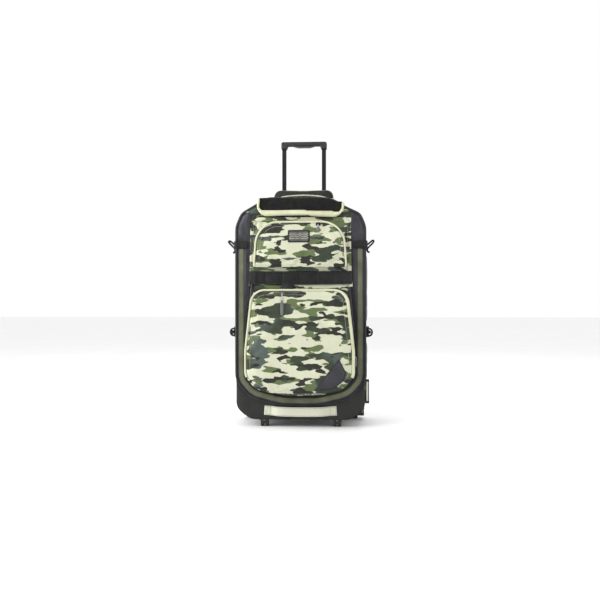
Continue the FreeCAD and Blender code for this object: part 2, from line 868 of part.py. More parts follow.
def buckle_socket(name, sign):
    """The female half of a side-release buckle, open towards the front and at both edges."""
    z, half = d.lower_strap_z, d.buckle_width / 2
    x = on_side(sign, 0.2, d.buckle_thickness)
    core = on_side(sign, 2.4, d.buckle_thickness - 2.2)
    socket = Piece(f"socket_{name}")
    socket.pad("YZ", [rectangle(-8, 28, z - half, z + half)], *x)
    socket.fillet(3, along_x)
    socket.pocket("YZ", [rectangle(-8, 16, z - half + 3, z + half - 3)], *core)
    window = [rectangle(0, 12, z + half - 3, z + half), rectangle(0, 12, z - half, z - half + 3)]
    socket.pocket("YZ", window, *core)
    slot = d.strap_width / 2 + 0.5
    socket.pocket("YZ", [rectangle(20, 24, z - slot, z + slot)], *x)
    return socket.body


def buckle_plug(name, sign):
    """The male half: a webbing bar, a guide blade and two sprung arms with barbs."""
    z, half = d.lower_strap_z, d.buckle_width / 2
    x = on_side(sign, 0.2, d.buckle_thickness)
    prongs = on_side(sign, 3, d.buckle_thickness - 2.8)
    plug = Piece(f"plug_{name}")
    plug.pad("YZ", [rectangle(-40, -9, z - half, z + half)], *x)
    plug.fillet(3, along_x)
    arm = [(-9, 8), (-9, 11), (1, 11.5), (3, 13.7), (9, 13.7), (13, 11), (13, 9), (4, 8)]
    blade = [(-9, -3), (13, -2), (13, 2), (-9, 3)]
    plug.pad("YZ", [[(y, z + w) for y, w in arm]], *prongs)
    plug.pad("YZ", [[(y, z - w) for y, w in arm]], *prongs)
    plug.pad("YZ", [[(y, z + w) for y, w in blade]], *prongs)
    slot = d.strap_width / 2 + 0.5
    plug.pocket("YZ", [rectangle(-36, -31, z - slot, z + slot)], *x)
    plug.pocket("YZ", [rectangle(-25, -20, z - slot, z + slot)], *x)
    return plug.body


# ---------------------------------------------------------------- trolley handle
def tube(name, sign, width, depth, bottom, top, wall):
    """A rectangular tube standing on a trolley axis."""
    x, y = d.tube_x * sign, d.tube_y
    outside = centred(x, y, width, depth)
    inside = centred(x, y, width - 2 * wall, depth - 2 * wall)
    return Piece(name).pad("XY", [outside, inside], bottom, top)


def trolley():
    """Three stages of tube, the bezel and bracket that hold them, the grip and its lock."""
    wall = d.tube_wall
    outer, mid, inner, plugs, pins, rods = [], [], [], [], [], []
    for side, sign in SIDES.items():
        x, y = d.tube_x * sign, d.tube_y
        low, high = d.outer_tube_bottom, d.outer_tube_top
        piece = tube(f"outer_{side}", sign, d.outer_tube_x, d.outer_tube_y, low, high, wall)
        outer.append(piece.body)
        low, high = d.mid_tube_bottom, d.bezel_top - 2
        piece = tube(f"mid_{side}", sign, d.mid_tube_x, d.mid_tube_y, low, high, wall)
        slot = rectangle(
            x - 2.4, x + 2.4, d.inner_tube_bottom - d.stowed_drop + 4, d.inner_tube_bottom + 16
        )
        piece.pocket("XZ", [slot], y + d.mid_tube_y / 2 - wall, y + d.mid_tube_y / 2)
        mid.append(piece.body)
        pin_z = d.inner_tube_bottom + 10
        low, high = d.inner_tube_bottom, d.grip_bottom + 10
        piece = tube(f"inner_{side}", sign, d.inner_tube_x, d.inner_tube_y, low, high, wall)
        hole = [Circle(x, pin_z, d.lock_pin_radius + 0.3)]
        piece.pocket("XZ", hole, y + d.inner_tube_y / 2 - wall, y + d.inner_tube_y / 2)
        inner.append(piece.body)
        width = d.inner_tube_x - 2 * wall
        depth = d.inner_tube_y - 2 * wall
        plug = Piece(f"lock_plug_{side}")
        bottom = d.inner_tube_bottom
        plug.pad("XY", [centred(x, y, width, depth)], bottom, bottom + 24)
        plug.pocket("XZ", [Circle(x, pin_z, d.lock_pin_radius + 0.1)], y - 2.2, y + depth / 2)
        plugs.append(plug.body)
        pin = Piece(f"lock_pin_{side}").pad("XZ", [Circle(x, pin_z, d.lock_pin_radius)], y, y + 6.2)
        pins.append(pin.body)
        rod = Piece(f"rod_{side}")
        rod.pad("XY", [Circle(x, y, d.rod_radius)], bottom + 24.2, d.grip_bottom + 15)
        rods.append(rod.body)
    keep(group("outer_pair", outer), "outer_tubes")
    keep(group("mid_pair", mid), "mid_tubes")
    keep(group("inner_pair", inner), "inner_tubes")
    keep(group("plug_pair", plugs), "lock_plugs")
    keep(group("pin_pair", pins), "lock_pins")
    keep(group("rod_pair", rods), "release_rods")
    bezel()
    bracket()
    grip()


def bezel():
    """The plastic housing on the top of the bag that the tubes come out of."""
    half, top = d.bezel_half_width, d.bezel_top
    outline = mirrored([(half, d.shell_top, None), (half - 24, top, 16)])
    housing = Piece("bezel").pad("XZ", [outline], 108, d.shell_back - 1)
    housing.round_corners("XZ", outline)
    housing.fillet(4, lambda e: along_x(e) and e.CenterOfMass.z > d.bezel_top.value - 1)
    for sign in SIDES.values():
        x, y = d.tube_x * sign, d.tube_y
        wide = centred(x, y, d.outer_tube_x + 0.4, d.outer_tube_y + 0.4)
        housing.pocket("XY", [wide], d.shell_top, d.outer_tube_top + 0.5)
        narrow = centred(x, y, d.mid_tube_x + 0.4, d.mid_tube_y + 0.4)
        housing.pocket("XY", [narrow], d.outer_tube_top, top)
    keep(housing.body, "trolley_bezel")


def bracket():
    """The block on the boot that the outer tubes stand in."""
    low = d.outer_tube_bottom - 14
    block = Piece("bracket")
    back = d.sheet_front + d.sheet_thickness
    block.pad("XY", [rectangle(-88, 88, back, d.shell_back - d.fabric)], low, d.outer_tube_bottom + 16)
    block.fillet(5, along_z)
    for sign in SIDES.values():
        x, y = d.tube_x * sign, d.tube_y
        socket = centred(x, y, d.outer_tube_x + 0.2, d.outer_tube_y + 0.2)
        block.pocket("XY", [socket], d.outer_tube_bottom, d.outer_tube_bottom + 16)
    keep(block.body, "trolley_bracket")


def grip():
    """The handle's grip, hollow for the release bar, and the button under it."""
    bottom, top, half = d.grip_bottom, d.grip_top, d.grip_half_width
    front, back = d.tube_y - d.grip_depth / 2, d.tube_y + d.grip_depth / 2
    bar = bottom + 12
    outline = mirrored([(half - 23, bar, 4), (half - 19, bottom, 3), (half, bottom, 4), (half, top, 7)])
    shell = Piece("grip").pad("XZ", [outline], front, back).round_corners("XZ", outline)
    shell.fillet(4.5, lambda e: along_x(e) and e.CenterOfMass.z > d.grip_top.value - 1)
    y = d.tube_y
    channel = rectangle(-half + 5, half - 5, y - 3, y + 3)
    shell.pocket("XY", [channel], bar - 2, bar + 10)
    length = d.button_half_length + 0.5
    shell.pocket("XY", [rectangle(-length, length, y - 6.5, y + 6.5)], bar, bar + 9)
    for sign in SIDES.values():
        x = d.tube_x * sign
        socket = centred(x, y, d.inner_tube_x + 0.2, d.inner_tube_y + 0.2)
        shell.pocket("XY", [socket], bottom, bottom + 10)
    keep(shell.body, "grip")

    length = d.button_half_length
    low = bar - 6
    face = [(length, bar + 3), (-length, bar + 3), (-length, bar - 2)]
    face += [(-20, low), (20, low), (length, bar - 2)]
    button = Piece("button").pad("XZ", [face], y - 6, y + 6)
    button.pad("XY", [rectangle(-half + 7, half - 7, y - 2.5, y + 2.5)], bar + 3, bar + 5.5)
    keep(button.body, "grip_button")


# ---------------------------------------------------------------- wheels, feet, skids
def wheel(side, sign):
    """One wheel on its bearings. Its profile is drawn with X along the axle."""
    half, rim = d.wheel_half_width, d.rim_radius
    centre = (d.wheel_x * sign, d.wheel_y, d.wheel_radius)
    tyre = Piece(f"tyre_{side}").revolve([rectangle(-half, half, rim, d.wheel_radius)])
    tread = d.wheel_radius.value
    tyre.fillet(5, lambda e: abs(getattr(e.Curve, "Radius", 0) - tread) < 1e-3)
    keep(place(tyre.body, *centre), f"wheel_tyre_{side}")

    seat = d.bearing_radius
    boss = 15
    hub = Piece(f"hub_{side}")
    profile = [(half - 1, rim), (half - 1, rim - 5), (3, rim - 5), (3, boss), (half - 1.8, boss)]
    profile += [(half - 1.8, seat), (3, seat), (3, seat - 3)]
    profile = profile + [(-as_size(u), v) for u, v in reversed(profile)]
    hub.revolve([profile])
    hub.pocket("YZ", [Circle(20, 0, 3.2)], -4, 4)
    keep(place(hub.pattern(6).body, *centre), f"wheel_hub_{side}")

    races = []
    for end, u in (("inner", -10), ("outer", 3.1)):
        race = Piece(f"bearing_{side}_{end}")
        race.revolve([rectangle(u, u + 6.9, d.axle_radius + d.running_gap, d.bearing_radius)])
        races.append(place(race.body, *centre))
    keep(group(f"bearings_{side}", races), f"wheel_bearings_{side}")


def running_gear():
    axles = []
    for side, sign in SIDES.items():
        wheel(side, sign)
        cheek = 33
        axle = Piece(f"axle_{side}")
        radius = d.axle_radius
        profile = [(-24, 0), (-24, radius), (cheek, radius), (cheek, radius + 4)]
        profile += [(cheek + 2.5, radius + 3), (cheek + 2.5, 0)]
        profile = [(u * sign, v) for u, v in profile]
        axle.revolve([profile])
        axles.append(place(axle.body, d.wheel_x * sign, d.wheel_y, d.wheel_radius))
        keep(wheel_housing(side, sign), f"wheel_housing_{side}")
    keep(group("axle_pair", axles), "wheel_axles")


def wheel_housing(side, sign):
    """The moulded corner that a wheel runs in, open at the back and underneath."""
    x = (d.housing_inner, d.shell_half_width)
    x = x if sign > 0 else (-x[1], -x[0])
    centre = d.wheel_x * sign
    front, top = d.housing_front, d.housing_top
    housing = Piece(f"housing_{side}")
    housing.pad("YZ", [rectangle(front, 158, 14, top)], *x)
    rounded = [(158, top.value), (front.value, 14)]
    housing.fillet(12, lambda e: stands_on(e, 1, 2, rounded))
    outer_face = x[1].value if sign > 0 else x[0].value
    housing.fillet(3, lambda e: abs(e.CenterOfMass.x - outer_face) < 0.01)
    well = [Circle(d.wheel_y, d.wheel_radius, d.wheel_radius + 5)]
    housing.pocket("YZ", well, centre - 15, centre + 15)
    bore = [Circle(d.wheel_y, d.wheel_radius, d.axle_radius + 0.1)]
    housing.pocket("YZ", bore, x[0] if sign < 0 else centre - 24, x[1] if sign > 0 else centre + 24)
    return housing.body


def feet_and_skids():
    """Front feet under the boot, and skid rails up the back above the wheels."""
    feet, skids = [], []
    for side, sign in SIDES.items():
        x, y = d.foot_x * sign, d.foot_y
        foot = Piece(f"foot_{side}")
        flange = d.shell_bottom - 3
        foot.pad("XY", [centred(x, y, as_size(30), as_size(56))], flange, d.shell_bottom)
        foot.pad("YZ", [[(y - 18, 22), (y - 15, 0), (y + 15, 0), (y + 18, 22)]], x - 12, x + 12)
        foot.pocket("XZ", [rectangle(x - 3, x + 3, 0, 8)], y - 20, y + 20)
        feet.append(foot.body)
        rail = Piece(f"skid_{side}")
        x, half = d.skid_x * sign, d.skid_width / 2
        face = rectangle(x - half, x + half, d.skid_bottom, d.skid_top)
        rail.pad("XZ", [face], d.shell_back, d.shell_back + d.skid_depth)
        rail.fillet(7, lambda e: abs(e.tangentAt(e.FirstParameter).y) > 0.999)
        back = d.shell_back.value + d.skid_depth.value
        rail.fillet(3, lambda e: abs(e.CenterOfMass.y - back) < 1e-3)
        skids.append(rail.body)
    keep(group("foot_pair", feet), "front_feet")
    keep(group("skid_pair", skids), "skid_rails")


def screw(name, x, y, z, axis, angle):
    """A pan-head screw. Its profile has the head at +X, and it is then turned about an axis."""
    profile = [(-7, 0), (-7, 1), (-6, 1.8), (0, 1.8), (0, 3.6), (1.4, 3.2), (2, 2), (2, 0)]
    piece = Piece(name).revolve([profile])
    piece.pocket("YZ", [rectangle(-2.2, 2.2, -0.4, 0.4)], 1.2, 2)
    piece.pocket("YZ", [rectangle(-0.4, 0.4, -2.2, 2.2)], 1.2, 2)
    piece.body.Placement = FreeCAD.Placement(Vector(), FreeCAD.Rotation(axis, angle))
    return place(piece.body, x, y, z)


def screws():
    back = d.shell_back + d.skid_depth
    fasteners = []
    for side, sign in SIDES.items():
        for end, z in (("low", d.skid_bottom + 20), ("high", d.skid_top - 20)):
            fasteners.append(screw(f"skid_{end}_{side}", d.skid_x * sign, back, z, Vector(0, 0, 1), 90))
        for end, y in (("front", d.foot_y - 23.5), ("rear", d.foot_y + 23.5)):
            under = d.shell_bottom - 3
            fasteners.append(screw(f"foot_{end}_{side}", d.foot_x * sign, y, under, Vector(0, 1, 0), 90))
        for end, y, z in (("low", 86, 88), ("high", 120, 92)):
            outward = 0 if sign > 0 else 180
            name = f"housing_{end}_{side}"
            fasteners.append(screw(name, d.shell_half_width * sign, y, z, Vector(0, 0, 1), outward))
    keep(group("screw_set", fasteners), "screws")


# ---------------------------------------------------------------- build and export
def check_document():
    doc.recompute()
    for thing in doc.Objects:
        if any(state in thing.State for state in ("Invalid", "Error")):
            raise RuntimeError(f"{thing.Name} ({thing.Label}) failed: {thing.State}")
    for part in parts:
        if part.Shape.isNull() or not part.Shape.isValid() or not part.Shape.Solids:
            raise RuntimeError(f"{part.Label} has no valid solid")


def export():
    os.makedirs("parts", exist_ok=True)
    for old in os.listdir("parts"):
        os.remove(os.path.join("parts", old))
    for part in parts:
        part.Shape.exportStep(os.path.join("parts", f"{part.Label}.step"))
    print(f"{len(parts)} sub-parts, {sum(len(p.Shape.Solids) for p in parts)} solids")


shell_panels()
front_frame()
stiffeners()
vent()
lid()
pockets()
pocket_piping()
patches()
sliders()
webbing_handles()
straps()
trolley()
running_gear()
feet_and_skids()
screws()
check_document()
export()
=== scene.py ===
"""The rolling duffel bag's looks: fabric skins, webbing, zips, trims and materials round its CAD frame.

Everything is in metres in the CAD's frame: +Z up, +X right seen from the front, the front faces -Y.
"""
import math

import bpy
import numpy as np
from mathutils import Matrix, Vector, noise
from mathutils.bvhtree import BVHTree


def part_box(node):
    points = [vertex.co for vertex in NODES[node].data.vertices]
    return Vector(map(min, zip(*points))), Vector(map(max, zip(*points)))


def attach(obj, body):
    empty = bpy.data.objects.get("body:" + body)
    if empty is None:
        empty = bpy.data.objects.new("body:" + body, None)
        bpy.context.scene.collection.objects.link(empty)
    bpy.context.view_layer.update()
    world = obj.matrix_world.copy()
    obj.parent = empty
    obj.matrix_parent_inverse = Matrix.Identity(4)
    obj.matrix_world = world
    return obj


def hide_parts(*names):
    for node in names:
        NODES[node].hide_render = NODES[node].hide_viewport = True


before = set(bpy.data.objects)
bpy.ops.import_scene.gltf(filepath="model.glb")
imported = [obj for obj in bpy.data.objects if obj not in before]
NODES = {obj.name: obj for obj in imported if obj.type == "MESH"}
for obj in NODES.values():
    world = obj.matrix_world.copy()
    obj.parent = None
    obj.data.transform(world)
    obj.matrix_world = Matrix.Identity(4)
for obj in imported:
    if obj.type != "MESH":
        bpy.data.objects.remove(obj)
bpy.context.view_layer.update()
scene = bpy.context.scene

MM = 0.001
SIDES = {"left": -1, "right": 1}
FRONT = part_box("lid_panel")[0].y  # the fabric wall of the front
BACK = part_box("back_panel")[1].y
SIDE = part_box("side_panel_right")[1].x
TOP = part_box("top_panel")[1].z
FLOOR_OF_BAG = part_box("base_boot")[0].z
BOOT_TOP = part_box("side_panel_right")[0].z
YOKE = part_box("side_panel_right")[1].z
UPPER_STRAP = (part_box("strap_adjusters")[0].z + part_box("strap_adjusters")[1].z) / 2
LOWER_STRAP = (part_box("buckle_sockets")[0].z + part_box("buckle_sockets")[1].z) / 2
STRAP_WIDTH = 25  # in millimetres, as in all profiles
SEAM_FROM = 0.21  # the shell's outline follows the boot up to here, then the front's seam
LENS_TOP = 0.19  # the boot's front ends here against the front seam
HINGE_LINE = 0.125  # under this height, the lid's zip and seams leave out the middle,
HINGE_GAP = 84 * MM  # this far to each side, where the lid hinges


# ---------------------------------------------------------------- numbers and paths
def smooth(t):
    """Eases from 0 to 1."""
    t = np.clip(t, 0, 1)
    return t * t * (3 - 2 * t)


def near(value, middle, reach):
    """1 at the middle, falling to 0 over the reach on both sides."""
    return np.exp(-(((value - middle) / reach) ** 2))


def ripples(points, size, seed=0.0, stretch=(1, 1, 1)):
    """Smooth noise from -1 to 1 at each point, with features of about the given size."""
    places = np.asarray(points) * (np.array(stretch) / size) + seed
    return np.array([noise.noise(Vector(p)) for p in places])


def creases(points, size, seed=0.0, stretch=(1, 1, 1)):
    """Noise with sharp valleys, from 0 in a crease to 1 between creases."""
    return np.minimum(1, 3 * np.abs(ripples(points, size, seed, stretch)))


def lengths_along(path):
    """Each point's distance from the start, along the path."""
    return np.concatenate([[0], np.cumsum(np.linalg.norm(np.diff(path, axis=0), axis=1))])


def resample(path, step, closed=False):
    """The same path with evenly spaced points."""
    path = np.asarray(path, float)
    if closed:
        path = np.vstack([path, path[:1]])
    along = lengths_along(path)
    count = max(2, int(round(along[-1] / step)) + 1)
    at = np.linspace(0, along[-1], count)
    even = np.column_stack([np.interp(at, along, path[:, k]) for k in range(path.shape[1])])
    return even[:-1] if closed else even


def divided(path, count, closed=False):
    """The same path in that many even steps."""
    ends = np.vstack([path, path[:1]]) if closed else path
    return resample(path, lengths_along(ends)[-1] / count, closed)


def curve_through(points, step):
    """A smooth path through a few points, as a Catmull-Rom spline."""
    points = np.asarray(points, float)
    points = np.vstack([2 * points[0] - points[1], points, 2 * points[-1] - points[-2]])
    pieces = []
    for a, b, c, e in zip(points, points[1:], points[2:], points[3:]):
        t = np.linspace(0, 1, 13)[:-1, None]
        square, cube = 2 * a - 5 * b + 4 * c - e, 3 * b - a - 3 * c + e
        pieces.append(0.5 * (2 * b + (c - a) * t + square * t**2 + cube * t**3))
    return resample(np.vstack(pieces + [points[-2:-1]]), step)


def tangents(path, closed=False):
    """The path's direction at each point."""
    if closed:
        ahead, behind = np.roll(path, -1, axis=0), np.roll(path, 1, axis=0)
        direction = ahead - behind
    else:
        direction = np.gradient(path, axis=0)
    return direction / np.linalg.norm(direction, axis=1)[:, None]


def outlines(node):
    """The loops round a node's foremost face, as x and z, longest first, from the bottom middle."""
    mesh = NODES[node].data
    co = np.empty(len(mesh.vertices) * 3)
    mesh.vertices.foreach_get("co", co)
    co = co.reshape(-1, 3)
    front = co[:, 1].min()
    keys = {}
    index = [keys.setdefault(tuple(np.round(p, 5)), len(keys)) for p in co]
    places = np.array(list(keys))[:, [0, 2]]
    edges = set()
    for face in mesh.polygons:
        if face.normal.y < -0.99 and abs(face.center.y - front) < 5e-5:
            ids = [index[v] for v in face.vertices]
            edges.update(zip(ids, ids[1:] + ids[:1]))
    following = {a: b for a, b in edges if (b, a) not in edges}
    loops = []
    while following:
        start, at = following.popitem()
        chain = [start]
        while at != start:
            chain.append(at)
            at = following.pop(at)
        loops.append(from_the_bottom(places[chain]))
    return sorted(loops, key=lambda loop: -lengths_along(loop)[-1])


def from_the_bottom(loop):
    """A loop that runs anticlockwise from the lowest point of its middle."""
    ahead = np.roll(loop, -1, axis=0)
    if np.sum(loop[:, 0] * ahead[:, 1] - loop[:, 1] * ahead[:, 0]) < 0:
        loop = loop[::-1]
        ahead = np.roll(loop, -1, axis=0)
    crossing = np.where((loop[:, 0] <= 0) & (ahead[:, 0] > 0))[0]
    first = min(crossing, key=lambda i: loop[i, 1])
    a, b = loop[first], ahead[first]
    middle = a + (b - a) * (-a[0] / (b[0] - a[0]))
    return np.vstack([[middle], np.roll(loop, -first - 1, axis=0)])


def offset(loop, distance):
    """A closed loop moved outwards."""
    t = tangents(loop, closed=True)
    return loop + distance * np.column_stack([t[:, 1], -t[:, 0]])


def right_half(loop):
    """The right half of a symmetric loop, from the bottom to the top."""
    top = int(np.argmax(loop[:, 1] - 1e-3 * np.abs(loop[:, 0])))
    return np.vstack([loop[: top + 1], [[0, loop[top, 1]]]])


def above(path, z):
    """The part of a rising path that lies over a height."""
    inside = path[path[:, 1] > z]
    return np.vstack([[np.interp(z, path[:, 1], path[:, 0]), z], inside])


def below(path, z):
    """The part of a rising path that lies under a height."""
    inside = path[path[:, 1] < z]
    return np.vstack([inside, [np.interp(z, path[:, 1], path[:, 0]), z]])


def both_halves(right):
    """A path from the left end of a right half, through its mirror image, back up to its end."""
    return np.vstack([(right * [-1, 1])[::-1], right])


def edge_distance(points, loop):
    """How far each point lies from a closed loop."""
    a = loop
    step = np.roll(loop, -1, axis=0) - a
    square = np.maximum((step**2).sum(1), 1e-12)
    best = np.full(len(points), np.inf)
    for i in range(len(a)):
        t = np.clip(((points - a[i]) @ step[i]) / square[i], 0, 1)
        gap = points - a[i] - t[:, None] * step[i]
        best = np.minimum(best, (gap**2).sum(1))
    return np.sqrt(best)


def in_front(loop, y):
    """A path in the XZ plane as points at one depth, or at one depth each."""
    return np.column_stack([loop[:, 0], np.broadcast_to(y, len(loop)), loop[:, 1]])


# ---------------------------------------------------------------- meshes
def make(
    name, points, faces, body, material, slot=None, replaces=(), lining=None, thickness=None
):
    """A piece that rides on a body, with an inner side's material and a thickness where it has them."""
    mesh = bpy.data.meshes.new(name)
    mesh.from_pydata([tuple(map(float, p)) for p in points], [], [tuple(map(int, f)) for f in faces])
    mesh.update()
    mesh.shade_smooth()
    mesh.materials.append(material)
    if lining is not None:
        mesh.materials.append(lining)
    piece = bpy.data.objects.new(name, mesh)
    scene.collection.objects.link(piece)
    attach(piece, body)
    if replaces:
        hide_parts(*replaces)
    return thicken(piece, thickness) if thickness else piece


def grid_faces(rows, columns, closed=False, flipped=False):
    """Quads of a grid numbered row by row. A closed grid joins its last column to its first."""
    wide = columns if closed else columns - 1
    faces = []
    for r in range(rows - 1):
        for c in range(wide):
            e = (c + 1) % columns
            quad = (r * columns + c, r * columns + e, (r + 1) * columns + e, (r + 1) * columns + c)
            faces.append(quad[::-1] if flipped else quad)
    return faces


def thicken(piece, thickness):
    """Gives a skin its thickness, on its inner side; its second material faces inwards."""
    modifier = piece.modifiers.new("thickness", "SOLIDIFY")
    modifier.thickness = thickness
    modifier.offset = -1
    modifier.use_even_offset = False
    if len(piece.data.materials) > 1:
        modifier.material_offset = 1
    return piece


def coordinates(mesh):
    """A mesh's vertices as rows of x, y and z."""
    co = np.empty(len(mesh.vertices) * 3, np.float32)
    mesh.vertices.foreach_get("co", co)
    return co.reshape(-1, 3).astype(float)


def set_coordinates(mesh, co):
    """Moves a mesh's vertices."""
    mesh.vertices.foreach_set("co", np.asarray(co, np.float32).ravel())
    mesh.update()


def simulate(piece, modifier, frames, cap):
    """Runs a cloth modifier, keeps its shape up to the cap on each point's motion, and removes it."""
    before = coordinates(piece.data)
    modifier.point_cache.frame_end = frames
    for number in range(1, frames + 1):
        scene.frame_set(number)
    evaluated = piece.evaluated_get(bpy.context.evaluated_depsgraph_get())
    moved = coordinates(evaluated.to_mesh()) - before
    evaluated.to_mesh_clear()
    piece.modifiers.remove(modifier)
    scene.frame_set(1)
    size = np.linalg.norm(moved, axis=1)[:, None]
    moved *= np.minimum(1, cap / np.maximum(size, 1e-9))
    set_coordinates(piece.data, before + moved)


def relax(piece, held, pressure, slack, cap):
    """Puffs and creases a skin with cloth simulation between its held points, up to the cap."""
    group = piece.vertex_groups.new(name="held")
    group.add([int(i) for i in np.where(held)[0]], 1.0, "REPLACE")
    modifier = piece.modifiers.new("cloth", "CLOTH")
    settings = modifier.settings
    settings.vertex_group_mass = group.name
    settings.mass = 0.3
    settings.quality = 4
    settings.tension_stiffness = settings.compression_stiffness = 20
    settings.bending_stiffness = 0.4
    settings.shrink_min = -slack
    settings.use_pressure = True
    settings.uniform_pressure_force = pressure
    settings.effector_weights.gravity = 0
    modifier.collision_settings.use_collision = False
    simulate(piece, modifier, 16, cap)
    piece.vertex_groups.remove(group)


def puff(piece, cap):
    """Swells a closed pad by cloth simulation with inner pressure."""
    bpy.context.view_layer.objects.active = piece
    remesh = piece.modifiers.new("voxels", "REMESH")
    remesh.mode = "VOXEL"
    remesh.voxel_size = 4.5 * MM
    remesh.use_smooth_shade = True
    bpy.ops.object.modifier_apply(modifier=remesh.name)
    modifier = piece.modifiers.new("cloth", "CLOTH")
    modifier.settings.use_pressure = True
    modifier.settings.uniform_pressure_force = 4
    modifier.settings.shrink_min = -0.03
    modifier.settings.bending_stiffness = 0.3
    modifier.settings.effector_weights.gravity = 0
    simulate(piece, modifier, 20, cap)
    return subdivide(piece)


def fill(right, step):
    """Rows of points across a symmetric outline given by its right half, and its closed loop."""
    path = resample(right, step)
    low, high = path[:, 1].min(), path[:, 1].max()
    first = np.where(path[:, 1] < low + 1e-5)[0][-1]
    last = np.where(path[:, 1] > high - 1e-5)[0][0]
    path = path[first : last + 1]
    columns = 2 * int(round(path[:, 0].max() / step)) + 1
    across = np.linspace(-1, 1, columns)
    x = (path[:, :1] * across).ravel()
    z = np.repeat(path[:, 1], columns)
    loop = np.vstack([path, (path * [-1, 1])[::-1]])
    return x, z, loop, len(path), columns


def domed(edge, rise, reach):
    """A panel's height: so much at its edge, and more beyond a reach from it."""
    return lambda x, z, distance: edge + rise * smooth(distance / reach)


def panel(name, right, y, height, body, material, step=5 * MM, facing=-1, **named):
    """A skin across an outline, raised from depth y by height(x, z, distance from the edge)."""
    x, z, loop, rows, columns = fill(right, step)
    distance = edge_distance(np.column_stack([x, z]), loop)
    points = np.column_stack([x, y + facing * height(x, z, distance), z])
    faces = grid_faces(rows, columns, flipped=facing > 0)
    return make(name, points, faces, body, material, **named), distance


def sweep(
    name, path, profile, body, material, up=(0, -1, 0), side=None, closed=False, size=None, **named
):
    """A profile of (sideways, upwards) pairs carried along a path; size scales it at each point."""
    path = np.asarray(path, float)
    t = tangents(path, closed)
    if side is not None:
        across = np.broadcast_to(np.asarray(side, float), path.shape)
    else:
        across = np.cross(t, np.broadcast_to(np.asarray(up, float), path.shape))
    across = across - (across * t).sum(1)[:, None] * t
    across /= np.linalg.norm(across, axis=1)[:, None]
    over = np.cross(across, t)
    profile = np.asarray(profile, float)
    scale = np.ones((len(path), 2)) if size is None else np.asarray(size, float)
    points = (
        path[:, None]
        + across[:, None] * (profile[None, :, :1] * scale[:, None, :1])
        + over[:, None] * (profile[None, :, 1:] * scale[:, None, 1:])
    )
    around, count = len(profile), len(path)
    faces = grid_faces(count, around, closed=True)
    last = (count - 1) * around
    if closed:
        faces += [(last + c, last + (c + 1) % around, (c + 1) % around, c) for c in range(around)]
    else:
        faces.append(tuple(range(around))[::-1])
        faces.append(tuple(range(last, count * around)))
    return make(name, points.reshape(-1, 3), faces, body, material, **named)


def round_profile(radius, flat=1.0, sides=12):
    """A round profile, or a flattened one, with its radius in millimetres."""
    radius *= MM
    turn = np.linspace(0, 2 * math.pi, sides, endpoint=False)
    return np.column_stack([radius * np.cos(turn), flat * radius * np.sin(turn)])


def tape_profile(width, thickness, crown=0.0, sunk=0.0):
    """A flat strip in millimetres with soft edges, crowned along its middle, on or in the path."""
    width, thickness, crown, sunk = width * MM, thickness * MM, crown * MM, sunk * MM
    half, edge = width / 2, min(thickness, width / 6) / 2
    upper = [(half, thickness / 2), (half - edge, thickness)]
    upper += [(half * k, thickness + crown * (1 - k * k)) for k in (0.6, 0.2, -0.2, -0.6)]
    upper += [(edge - half, thickness), (-half, thickness / 2)]
    return [(x, y - sunk) for x, y in upper + [(-half, 0), (half, 0)]]


def stitches(
    name, paths, body, material, up=(0, -1, 0), pitch=4 * MM, length=2.7 * MM, radius=0.42 * MM
):
    """Rows of thread: one short bead for each stitch along each path."""
    points, faces, sides = [], [], 5
    for path in paths:
        path = resample(path, pitch)
        t = tangents(path)
        across = np.cross(t, np.broadcast_to(np.asarray(up, float), path.shape))
        across /= np.linalg.norm(across, axis=1)[:, None]
        over = np.cross(across, t)
        for at, along, sideways, upwards in zip(path, t, across, over):
            first = len(points)
            points.append(at - along * length / 2)
            for reach in (-0.3, 0.3):
                for turn in range(sides):
                    angle = turn * 2 * math.pi / sides
                    rim = sideways * math.cos(angle) + upwards * math.sin(angle)
                    points.append(at + along * length * reach + rim * radius)
            points.append(at + along * length / 2)
            for turn in range(sides):
                a, b = first + 1 + turn, first + 1 + (turn + 1) % sides
                tip = first + 1 + 2 * sides
                faces += [(first, b, a), (a, b, b + sides, a + sides), (a + sides, b + sides, tip)]
    return make(name, points, faces, body, material)


def settle(points, piece, lift):
    """Moves points in depth so that they lie just in front of a skin."""
    tree = BVHTree.FromObject(piece, bpy.context.evaluated_depsgraph_get())
    points = np.array(points, float)
    for point in points:
        hit = tree.ray_cast(Vector((point[0], -1, point[2])), Vector((0, 1, 0)))[0]
        if hit is not None:
            point[1] = hit.y - lift
    return points


def subdivide(piece):
    """Rounds a piece with a subdivision surface."""
    modifier = piece.modifiers.new("smooth", "SUBSURF")
    modifier.levels = modifier.render_levels = 1
    return piece


